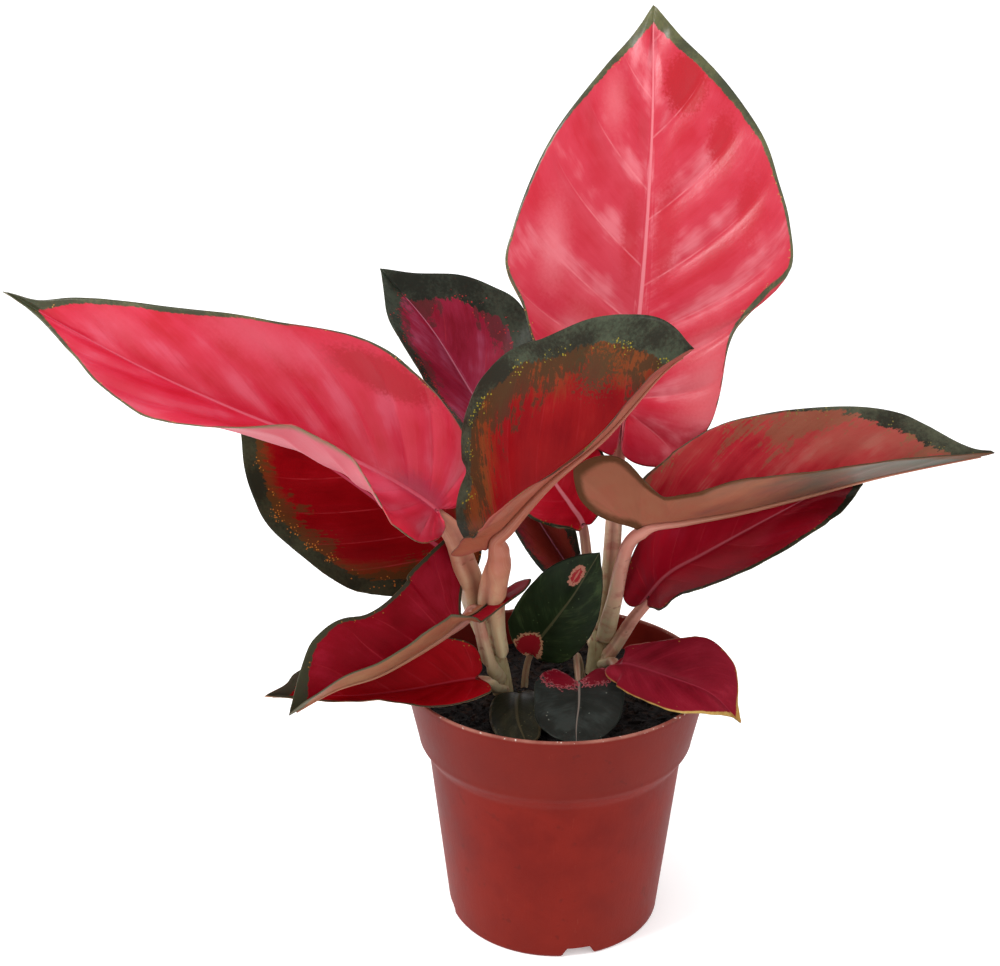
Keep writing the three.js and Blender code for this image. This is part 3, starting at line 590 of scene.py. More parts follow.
class Nodes:
    """Short ways to add nodes to one tree. Each gives back the new node's output socket, and
    takes sockets or plain values, where a colour is (red, green, blue) on the screen."""

    def __init__(self, tree):
        self.tree = tree

    def add(self, kind, values, out=0, **settings):
        node = self.tree.nodes.new(kind)
        for key, value in settings.items():
            setattr(node, key, value)
        for key, value in values.items():
            if isinstance(value, bpy.types.NodeSocket):
                self.tree.links.new(value, node.inputs[key])
            else:
                node.inputs[key].default_value = value
        return node.outputs[out]

    def math(self, operation, a, b=0.0, c=0.0):
        return self.add("ShaderNodeMath", {0: a, 1: b, 2: c}, operation=operation)

    def times(self, *values):
        total = values[0]
        for value in values[1:]:
            total = self.math("MULTIPLY", total, value)
        return total

    def plus(self, *values):
        total = values[0]
        for value in values[1:]:
            total = self.math("ADD", total, value)
        return total

    def stray(self, value, amount):
        """How far a value strays from 0.5, times an amount."""
        return self.times(self.math("SUBTRACT", value, 0.5), amount)

    def ramp(self, value, low, high, start=0.0, end=1.0):
        """Smooth step of value from low to high."""
        inputs = {"Value": value, "From Min": low, "From Max": high, "To Min": start, "To Max": end}
        return self.add("ShaderNodeMapRange", inputs, interpolation_type="SMOOTHSTEP")

    def mix(self, share, a, b):
        inputs = {0: share, 6: painted(a), 7: painted(b)}
        return self.add("ShaderNodeMix", inputs, out=2, data_type="RGBA")

    def layers(self, base, *laid):
        """Colours laid over a base in turn, each as (mask, colour)."""
        for mask, shade in laid:
            base = self.mix(mask, base, shade)
        return base

    def noise(self, vector, scale, detail=2.0, rough=0.5):
        inputs = {"Vector": vector, "Scale": scale, "Detail": detail, "Roughness": rough}
        return self.add("ShaderNodeTexNoise", inputs)

    def cells(self, vector, scale, out="Distance"):
        return self.add("ShaderNodeTexVoronoi", {"Vector": vector, "Scale": scale}, out=out)

    def split(self, vector):
        node = self.add("ShaderNodeSeparateXYZ", {0: vector}).node
        return node.outputs[0], node.outputs[1], node.outputs[2]

    def join(self, x, y, z):
        return self.add("ShaderNodeCombineXYZ", {0: x, 1: y, 2: z})

    def attribute(self, name):
        return self.add("ShaderNodeAttribute", {}, out="Vector", attribute_name=name)

    def place(self):
        return self.add("ShaderNodeTexCoord", {}, out="Object")

    def bump(self, height, strength, distance):
        inputs = {"Height": height, "Strength": strength, "Distance": distance}
        return self.add("ShaderNodeBump", inputs)


def new_group(name, inputs, outputs):
    """An empty shader node group: its tree, the sockets that come in by name, and a function
    that joins the sockets that go out."""
    tree = bpy.data.node_groups.new(name, "ShaderNodeTree")
    for label, start in inputs.items():
        kind = "NodeSocketFloat"
        if isinstance(start, tuple):
            kind = "NodeSocketColor" if len(start) == 4 else "NodeSocketVector"
        socket = tree.interface.new_socket(label, in_out="INPUT", socket_type=kind)
        socket.default_value = start
    for label, kind in outputs.items():
        tree.interface.new_socket(label, in_out="OUTPUT", socket_type=kind)
    way_in = tree.nodes.new("NodeGroupInput")
    way_out = tree.nodes.new("NodeGroupOutput")

    def finish_group(**values):
        for label, socket in values.items():
            tree.links.new(socket, way_out.inputs[label])

    return tree, {label: way_in.outputs[label] for label in inputs}, finish_group


class LeafPattern(Nodes):
    """The living leaf's pattern, layer by layer. The attributes say where a point is: flat (cm
    along and across), vein (vein number, share of the way out, half), edge (mm to the rim,
    margin width, mm between veins) and rib (midrib widths, share of the length, 1 underneath).
    given holds the group's inputs."""

    def __init__(self, tree, given):
        super().__init__(tree)
        self.given = given
        self.flat = self.attribute("flat")
        self.vein, self.step, self.half = self.split(self.attribute("vein"))
        to_edge, self.margin, self.spacing = self.split(self.attribute("edge"))
        self.rib, share, self.under = self.split(self.attribute("rib"))
        self.seed = self.split(self.flat)[2]

        self.cloud = self.noise(self.flat, 0.62)
        self.fine = self.noise(self.flat, 7.0, 4.0, 0.7)
        self.streak = self.noise(self.lane(1.1, 1.5, 3.0), 1.0, 4.0, 0.6)
        self.hair = self.noise(self.lane(9.0, 3.0), 1.0, 3.0, 0.65)
        self.toward_tip = self.plus(share, self.stray(self.streak, 0.9))
        self.lick = self.plus(self.stray(self.hair, 3.2), self.stray(self.fine, 2.2),
                              self.stray(self.cloud, 2.4))
        self.inward = self.math("SUBTRACT", to_edge, self.margin)
        ragged = self.times(self.lick, given["Ragged"], self.ramp(self.margin, 0.3, 2.5))
        self.border = self.plus(self.inward, ragged)
        self.tone = self.flesh_tone()
        self.on_vein = self.side_veins()
        self.in_margin = self.times(self.ramp(self.border, 0.22, -0.22),
                                    self.ramp(self.margin, 0.0, 0.15))
        self.on_rib = self.ramp(self.rib, 1.0, 0.45)

    def lane(self, per_vein, outward, apart=1.0):
        """A place that follows the side veins: across them, along them and by half."""
        return self.join(self.times(self.vein, per_vein), self.times(self.step, outward),
                         self.plus(self.times(self.half, apart), self.seed))

    def flesh_tone(self):
        """How pale the flesh is: clouds, streaks along the veins, fine hairs, and a painted
        highlight and painted shade on each puffed strip between two veins, pale on one side and
        deep on the other."""
        # Painted highlight and shade: a sine over the vein number pales one side of each strip
        # between two veins and deepens the other.
        strip_shading = self.math("SINE", self.math("MULTIPLY_ADD", self.vein, FULL_TURN, 0.7))
        strip_shading = self.times(strip_shading, self.given["Strip shading"], self.ramp(self.step, 0.0, 0.2),
                           self.ramp(self.step, 0.85, 0.45))
        return self.plus(self.times(self.cloud, 0.5), self.times(self.streak, 0.5),
                         self.stray(self.hair, 0.22), strip_shading)

    def flesh(self):
        """The flesh between the veins, from deep through field to pale by its tone."""
        spread = self.times(self.given["Cloud"], 0.22)
        deep = self.ramp(self.tone, self.math("SUBTRACT", 0.5, spread), 0.52)
        pale = self.ramp(self.tone, 0.5, self.plus(0.5, spread))
        return self.layers(self.given["Deep"], (deep, self.given["Field"]),
                           (pale, self.given["Pale"]))

    def stain(self):
        """Mask of the stain that reaches in from the edge, torn along the veins."""
        reach = self.math("MAXIMUM", self.given["Stain reach"], 0.01)
        at = self.math("SUBTRACT", 1.25, self.math("DIVIDE", self.border, reach))
        at = self.plus(at, self.stray(self.hair, 1.6), self.stray(self.streak, 2.2))
        return self.times(self.ramp(at, 0.1, 1.1), self.given["Stain share"])

    def tip(self):
        """Mask of the tint towards the tip."""
        return self.times(self.ramp(self.toward_tip, 0.3, 0.95), self.given["Tip share"])

    def dark_streaks(self):
        """Mask of the dark streaks and blots that break in from the edge."""
        patch = self.noise(self.lane(0.9, 0.7), 1.0, 1.0)
        blot = self.noise(self.flat, 2.6, 4.0, 0.7)
        at = self.math("DIVIDE", self.border, self.given["Streak reach"])
        at = self.plus(self.math("SUBTRACT", 0.8, at), self.stray(patch, 2.4),
                       self.stray(self.hair, 2.2), self.stray(blot, 2.0))
        return self.times(self.ramp(at, 0.45, 0.75), self.given["Streak share"])

    def side_veins(self):
        """Mask of the side veins: thick at the midrib, faint in places and gone at the edge."""
        off = self.times(self.math("PINGPONG", self.vein, 0.5), self.spacing)
        width = self.times(self.given["Vein width"], self.plus(1.0, self.stray(self.fine, 0.8)),
                           self.ramp(self.step, 0.0, 1.0, 1.25, 0.55))
        drawn = self.ramp(off, width, self.times(width, 0.25))
        faint = self.ramp(self.noise(self.flat, 1.6), 0.3, 0.62, 0.25, 1.0)
        fade = self.times(self.ramp(self.step, 0.92, 0.3), self.ramp(self.spacing, 3.0, 8.0),
                          self.ramp(self.border, 0.0, 1.5), faint)
        return self.times(drawn, fade, self.given["Vein share"])

    def edge_colour(self):
        """The dark edge's colour, clouded with its lighter one."""
        light = self.ramp(self.plus(self.cloud, self.times(self.fine, 0.6)), 0.62, 1.0)
        return self.mix(light, self.given["Margin"], self.given["Margin light"])

    def flecks(self):
        """Mask of the flecks, which gather on both sides of the edge's border."""
        lot = self.split(self.cells(self.flat, 11.0, "Color"))[0]
        near = self.ramp(self.math("ABSOLUTE", self.border), self.given["Fleck reach"], 0.0)
        chance = self.times(near, self.given["Fleck share"],
                            self.ramp(self.noise(self.flat, 1.3), 0.46, 0.6))
        hit = self.math("GREATER_THAN", chance, lot)
        return self.times(self.ramp(self.cells(self.flat, 11.0), 0.42, 0.25), hit)

    def underside(self, body):
        """The lower side: its own colour from base to tip, some of the flesh showing through,
        with a soft edge and faint veins."""
        lower = self.mix(self.ramp(self.toward_tip, 0.1, 0.75), self.given["Under"],
                         self.given["Under tip"])
        rim = self.plus(self.inward, self.times(self.lick, 0.35))
        edge = self.times(self.ramp(rim, 1.6, -0.8), self.ramp(self.margin, 0.0, 0.4))
        return self.layers(lower, (self.ramp(self.tone, 0.35, 0.65), self.mix(0.3, lower, body)),
                           (edge, self.given["Under margin"]),
                           (self.times(self.on_vein, 0.5), self.given["Vein"]))

    def gloss(self):
        """Roughness: a little duller in patches, and underneath."""
        return self.plus(self.times(self.cloud, 0.1), self.times(self.fine, 0.06),
                         self.math("MULTIPLY_ADD", self.under, 0.14, 0.27))

    def height(self):
        """Fine relief of the skin, sunk along the side veins."""
        skin = self.plus(self.times(self.fine, 0.5), self.times(self.hair, 0.5))
        return self.math("SUBTRACT", skin, self.times(self.on_vein, 0.4))

    def bare_flesh(self):
        """Mask of the flesh that no edge, midrib or vein covers."""
        return self.times(self.ramp(self.in_margin, 0.6, 0.0), self.ramp(self.on_rib, 1.0, 0.0),
                          self.ramp(self.on_vein, 0.7, 0.0))


# Deep, Field and Pale make the flesh. Cloud is how softly they run into each other, and
# Strip shading is how strongly each strip between two veins is painted pale on one side and
# deep on the other, a painted highlight and painted shade. The stain, the streaks and the flecks
# start at the dark edge, which the margin colours fill, and a reach is how many mm they go in.
# A share is how strong a mark is, from 0 to 1. Ragged is how torn the border of the dark edge is.
LEAF_COLOURS = ("Deep", "Field", "Pale", "Stain", "Margin", "Margin light", "Streak", "Tip",
                "Fleck", "Vein", "Midrib", "Under", "Under tip", "Under margin")
LEAF_AMOUNTS = {"Cloud": 0.5, "Strip shading": 0.03, "Stain reach": 0.0, "Stain share": 0.0,
                "Ragged": 1.0, "Streak reach": 0.01, "Streak share": 0.0, "Tip share": 0.0,
                "Fleck share": 0.0, "Fleck reach": 3.0, "Vein share": 0.5, "Vein width": 0.5}


def leaf_pattern_group():
    """The living leaf's pattern as a group. Its colours start black, and each leaf gives its
    own. Flesh is a mask of what no edge or vein covers."""
    inputs = {label: (0.0, 0.0, 0.0, 1.0) for label in LEAF_COLOURS} | LEAF_AMOUNTS
    tree, given, done = new_group("leaf_pattern", inputs, {
        "Colour": "NodeSocketColor", "Gloss": "NodeSocketFloat", "Height": "NodeSocketFloat",
        "Flesh": "NodeSocketFloat"})
    leaf = LeafPattern(tree, given)
    midrib = leaf.times(leaf.on_rib, leaf.ramp(leaf.in_margin, 1.0, 0.2))
    body = leaf.layers(leaf.flesh(), (leaf.stain(), given["Stain"]), (leaf.tip(), given["Tip"]),
                       (leaf.dark_streaks(), given["Streak"]), (leaf.on_vein, given["Vein"]),
                       (leaf.in_margin, leaf.edge_colour()), (leaf.flecks(), given["Fleck"]),
                       (midrib, given["Midrib"]))
    done(Colour=leaf.mix(leaf.under, body, leaf.underside(body)), Gloss=leaf.gloss(),
         Height=leaf.height(), Flesh=leaf.bare_flesh())
    return tree


def spot_group():
    """A patch on a leaf round a centre given in cm along and across, with a ragged edge. Mask
    is one inside, Ring is one on its pale rim, and heart pulls the middle of one end in."""
    tree, given, done = new_group("leaf_spot", {
        "centre": (0.0, 0.0, 0.0), "size": (1.0, 1.0, 1.0), "heart": 0.0, "ring": 0.2,
        "ragged": 0.5, "soft": 0.12,
    }, {"Mask": "NodeSocketFloat", "Ring": "NodeSocketFloat"})
    n = Nodes(tree)
    flat = n.attribute("flat")
    under = n.split(n.attribute("rib"))[2]
    away = n.add("ShaderNodeVectorMath", {0: flat, 1: given["centre"]}, operation="SUBTRACT")
    scaled = n.add("ShaderNodeVectorMath", {0: away, 1: given["size"]}, operation="DIVIDE")
    x, y, _ = n.split(scaled)
    x = n.plus(x, n.times(given["heart"], n.math("ABSOLUTE", y)))
    reach = n.math("SQRT", n.plus(n.times(x, x), n.times(y, y)))
    torn = n.math("SUBTRACT", n.noise(flat, 9.0, 3.0, 0.6), 0.5)
    reach = n.plus(reach, n.times(torn, given["ragged"]))
    above = n.math("SUBTRACT", 1.0, under)
    inner = n.math("SUBTRACT", 1.0, given["ring"])
    mask = n.times(n.ramp(reach, inner, n.math("SUBTRACT", inner, given["soft"])), above)
    whole = n.times(n.ramp(reach, 1.06, 0.94), above)
    done(Mask=mask, Ring=n.math("SUBTRACT", whole, mask))
    return tree


def wear_group():
    """Fine scuffs and blotches for moulded plastic: Blotch and Scratch vary from 0 to 1."""
    tree, given, done = new_group("plastic_wear", {"Scale": 60.0},
                                  {"Blotch": "NodeSocketFloat", "Scratch": "NodeSocketFloat",
                                   "Grain": "NodeSocketFloat"})
    n = Nodes(tree)
    place = n.place()
    x, y, z = n.split(place)
    blotch = n.noise(place, given["Scale"], 5.0, 0.62)
    streaky = n.join(n.times(x, 3.0), n.times(y, 3.0), n.times(z, 0.5))
    scratch = n.noise(streaky, n.times(given["Scale"], 4.0), 3.0, 0.7)
    grain = n.noise(place, n.times(given["Scale"], 26.0), 2.0, 0.5)
    done(Blotch=blotch, Scratch=scratch, Grain=grain)
    return tree


def new_material(name, group=None, values=None):
    """A material with its shader and, where given, one placed node group."""
    material = bpy.data.materials.new(name)
    material.use_nodes = True
    tree = material.node_tree
    shader = next(node for node in tree.nodes if node.type == "BSDF_PRINCIPLED")
    placed = place_group(tree, group, values or {}) if group else None
    return material, Nodes(tree), shader, placed


def place_group(tree, group, values):
    """Puts a node group in a tree with its own values."""
    node = tree.nodes.new("ShaderNodeGroup")
    node.node_tree = group
    for label, value in values.items():
        node.inputs[label].default_value = value
    return node


def finish_shader(n, shader, base, roughness, normal, **plain):
    """Joins what varies to the shader and sets what is the same all over on its sockets."""
    n.tree.links.new(base, shader.inputs["Base Color"])
    n.tree.links.new(roughness, shader.inputs["Roughness"])
    n.tree.links.new(normal, shader.inputs["Normal"])
    for label, value in plain.items():
        shader.inputs[label.replace("_", " ")].default_value = value


def leaf_material(name, look):
    """A leaf's own colours in the shared pattern, with its spots laid over it. A spot with a
    pale rim covers edge and veins too; the others stay on the flesh."""
    values = {label: painted(value) for label, value in look["pattern"].items()}
    material, n, shader, pattern = new_material(name, LEAF_PATTERN, values)
    base = pattern.outputs["Colour"]
    for patch in look.get("spots", ()):
        node = place_group(n.tree, LEAF_SPOT, patch["shape"])
        share = patch["share"]
        if patch["rim"]:
            base = n.mix(n.times(node.outputs["Ring"], share), base, patch["rim"])
        else:
            share = n.times(pattern.outputs["Flesh"], share)
        base = n.mix(n.times(node.outputs["Mask"], share), base, patch["shade"])
    normal = n.bump(pattern.outputs["Height"], 0.35, 0.0004)
    finish_shader(n, shader, base, pattern.outputs["Gloss"], normal,
                  Subsurface_Weight=0.1, Subsurface_Radius=(1.0, 0.25, 0.2),
                  Subsurface_Scale=0.0012, Specular_IOR_Level=look["shine"])
    return material


def stalk_material(name, look):
    """A fleshy stalk: pale yellow-green at its foot, tan and pink towards the blade, with fine
    lengthwise fibres, pale lips along its groove, flushes and bruises, and the colour of the
    leaf's underside where it is the midrib."""
    material, n, shader, _ = new_material(name)
    flat = n.attribute("flat")
    at, around, seed = n.split(flat)
    step, turn, sheath = n.split(n.attribute("stalk"))
    fibre = n.noise(n.join(n.times(at, 0.25), n.times(around, 22.0), seed), 1.0, 3.0, 0.6)
    fine = n.noise(flat, 9.0, 3.0, 0.6)
    climb = n.plus(step, n.stray(n.noise(flat, 1.1, 3.0, 0.6), 0.5))
    lip = n.times(n.ramp(turn, 1.25, 0.8), n.ramp(turn, 0.45, 0.8), sheath, 0.7)
    crease = n.times(n.ramp(turn, 0.5, 0.1), n.ramp(step, 1.02, 0.9), 0.45)
    flush = n.times(n.ramp(n.noise(flat, 1.7, 3.0, 0.6), 0.5, 0.68), n.ramp(step, 1.1, 0.5), 0.5)
    bruise = n.times(n.ramp(n.noise(flat, 3.3), 0.67, 0.74), n.ramp(step, 1.0, 0.6), 0.5)
    base = n.mix(n.ramp(climb, 0.1, 0.65), look["foot"], look["middle"])
    base = n.layers(base, (n.ramp(climb, 0.6, 1.05), look["neck"]),
                    (n.ramp(step, 1.0, 1.25), look["pattern"]["Under"]),
                    (n.times(n.ramp(fibre, 0.5, 0.75), 0.5), look["fibre"]), (lip, look["lip"]),
                    (crease, look["crease"]), (flush, look["flush"]), (bruise, look["bruise"]))
    rough = n.math("MULTIPLY_ADD", fine, 0.14, 0.34)
    height = n.plus(n.times(fibre, 0.7), n.times(fine, 0.3))
    finish_shader(n, shader, base, rough, n.bump(height, 0.4, 0.0004),
                  Subsurface_Weight=0.2, Subsurface_Radius=(1.0, 0.5, 0.3),
                  Subsurface_Scale=0.002, Specular_IOR_Level=0.3)
    return material


def cane_material():
    """Short green-tan canes, streaked upright, with papery brown patches of old leaf bases."""
    material, n, shader, _ = new_material("cane_skin")
    place = n.place()
    x, y, z = n.split(place)
    cloud = n.noise(place, 90.0, 3.0, 0.6)
    fine = n.noise(place, 700.0, 3.0, 0.6)
    upright = n.noise(n.join(n.times(x, 900.0), n.times(y, 900.0), n.times(z, 60.0)), 1.0, 3.0)
    papery = n.ramp(n.noise(place, 160.0, 3.0, 0.6), 0.56, 0.68, 0.0, 0.7)
    base = n.mix(n.ramp(cloud, 0.35, 0.65), (170, 154, 112), (202, 186, 144))
    base = n.layers(base, (n.ramp(upright, 0.52, 0.72, 0.0, 0.6), (150, 118, 82)),
                    (papery, (158, 84, 62)))
    rough = n.math("MULTIPLY_ADD", fine, 0.15, 0.42)
    finish_shader(n, shader, base, rough, n.bump(fine, 0.4, 0.0003),
                  Subsurface_Weight=0.1, Subsurface_Scale=0.001)
    return material


def pot_material():
    """Terracotta-coloured moulded plastic: satin, scuffed, painted lighter near its foot as painted
    light, its rim worn pale and chipped in places, and its inner wall painted near black as painted
    shade."""
    material, n, shader, wear = new_material("terracotta_plastic", PLASTIC_WEAR, {"Scale": 55.0})
    place = n.place()
    z = n.split(place)[2]
    rim, band = POT["height"] * MM, POT["band"][1] * MM
    blotch, scratch, grain = (wear.outputs[label] for label in ("Blotch", "Scratch", "Grain"))
    scuff = n.times(n.ramp(scratch, 0.62, 0.8), n.ramp(blotch, 0.4, 0.65), 0.3)
    mark = n.times(n.ramp(n.noise(place, 210.0), 0.66, 0.74), 0.35)
    worn = n.times(n.ramp(z, rim - 0.0013, rim - 0.0003), n.ramp(blotch, 0.36, 0.6, 0.2, 0.7))
    chips = n.times(n.ramp(z, rim - 0.0012, rim - 0.0003),
                    n.ramp(n.noise(place, 800.0), 0.64, 0.7))
    inner = n.split(n.attribute("inner"))[0]
    # Painted shade: the inner wall from a few mm below the rim down is painted near black, for the
    # shade inside the pot.
    inner_wall_shade = n.times(inner, n.ramp(z, rim - 0.0004, rim - 0.004),
                   n.ramp(blotch, 0.2, 0.6, 0.85, 0.97))
    base = n.mix(n.ramp(blotch, 0.3, 0.7), (116, 16, 5), (130, 25, 12))
    # The first layer is painted light: the body is painted lighter towards its foot.
    base = n.layers(base, (n.ramp(z, 0.0, 0.06, 0.3, 0.0), (132, 34, 18)),
                    (n.times(n.ramp(z, band - 0.004, band), 0.5), (110, 28, 18)),
                    (scuff, (150, 74, 58)), (mark, (84, 20, 12)), (worn, (184, 128, 112)),
                    (chips, (226, 206, 194)), (inner_wall_shade, (30, 24, 21)))
    rough = n.math("MULTIPLY_ADD", blotch, 0.16, n.math("MULTIPLY_ADD", scratch, 0.14, 0.34))
    height = n.plus(n.times(grain, 0.6), n.times(scratch, 0.4))
    finish_shader(n, shader, base, rough, n.bump(height, 0.25, 0.0003),
                  Specular_IOR_Level=0.1)
    return material


def soil_material():
    """Near-black peat and bark with browner grains."""
    material, n, shader, _ = new_material("potting_mix")
    place = n.place()
    grains = n.cells(place, 420.0)
    lot = n.split(n.cells(place, 420.0, "Color"))[0]
    fine = n.noise(place, 1600.0, 3.0, 0.65)
    base = n.mix(n.ramp(n.noise(place, 120.0, 4.0, 0.6), 0.3, 0.7), (15, 9, 9), (30, 20, 17))
    base = n.mix(n.times(n.math("GREATER_THAN", lot, 0.86), 0.7), base, (58, 38, 27))
    rough = n.math("MULTIPLY_ADD", fine, 0.2, 0.75)
    height = n.plus(n.times(grains, -0.6), n.times(fine, 0.4))
    finish_shader(n, shader, base, rough, n.bump(height, 0.9, 0.0012), Specular_IOR_Level=0.25)
    return material


LEAF_PATTERN = leaf_pattern_group()
LEAF_SPOT = spot_group()
PLASTIC_WEAR = wear_group()


def spot(along, across, length, width, shade, share=1.0, rim=None, **shape):
    """A patch on a leaf, in cm: where its middle is, its half length and its half width.
    shape holds how soft and ragged its edge is, its rim's width and how heart-like it is."""
    shape = {"centre": (along, across, 0), "size": (length, width, 1), **shape}
    return dict(shade=shade, share=share, rim=rim, shape=shape)


# ---- the colours of each leaf ---------------------------------------------------------------
# Colours are (red, green, blue) on the screen, and the names in pattern are those of the
# pattern's inputs.
# margin: width of the dark edge in mm, left half (-1) and right half (1), at even steps along
# the outline from the base round the lobe to the tip.
# veins: side veins per half. puff: how far the flesh stands up between them. groove: depth in
# mm over the midrib. thickness: of the blade in mm. rib_width: how wide the midrib is drawn.
# shine: how much the blade reflects.
# sheath: how far the stalk's foot is wrapped. wings: how wide the sheath opens. flare: how
# much the stalk widens upwards. twist: radians by which its groove turns away. sink: mm before
# the blade over which it goes under. foot to bruise: the stalk's colours.

PLAIN = dict(veins=8, puff=0.03, groove=0.45, thickness=0.5, rib_width=1.0, sheath=1.0,
             sink=14, twist=0.0, wings=0.0, flare=0.0, shine=0.25, foot=(206, 190, 150),
             middle=(188, 146, 118), neck=(178, 112, 100), fibre=(214, 184, 152),
             lip=(222, 206, 170), crease=(146, 84, 68), flush=(178, 92, 84),
             bruise=(120, 52, 44))
# Stalks of the left crown: their foot is painted pale, painted light that lifts the shade of the
# leaves above it.
TAN_PAINTED_LIGHT = dict(foot=(226, 206, 164), middle=(198, 138, 110), neck=(182, 108, 86),
           fibre=(204, 156, 124), lip=(218, 184, 146))
# Stalks of the right crown: painted lighter towards the blade, painted light for the stronger light
# they stand in.
BLUSH_PAINTED_LIGHT = dict(middle=(232, 168, 148), neck=(232, 154, 138), fibre=(226, 186, 160))

ROSE = {
    "Deep": (204, 18, 44), "Field": (214, 42, 66), "Pale": (224, 86, 100),
    "Cloud": 0.9, "Margin": (64, 66, 42), "Margin light": (100, 100, 62),
    "Ragged": 0.55, "Fleck": (186, 132, 66), "Fleck share": 0.3, "Fleck reach": 1.2,
    "Vein": (236, 132, 140), "Vein share": 0.5, "Vein width": 0.42,
    "Midrib": (232, 124, 134), "Under": (206, 100, 108),
    "Under tip": (206, 100, 108), "Under margin": (120, 108, 74),
}

CRIMSON = {
    "Deep": (112, 3, 12), "Field": (130, 6, 20), "Pale": (152, 20, 38),
    "Cloud": 0.9, "Margin": (42, 42, 31), "Margin light": (62, 62, 44),
    "Ragged": 0.8, "Fleck": (150, 104, 40), "Fleck share": 0.3, "Fleck reach": 2.0,
    "Vein": (190, 54, 66), "Vein share": 0.32, "Vein width": 0.36,
    "Midrib": (196, 70, 92), "Under": (150, 84, 74),
    "Under tip": (132, 92, 72), "Under margin": (96, 92, 68),
}

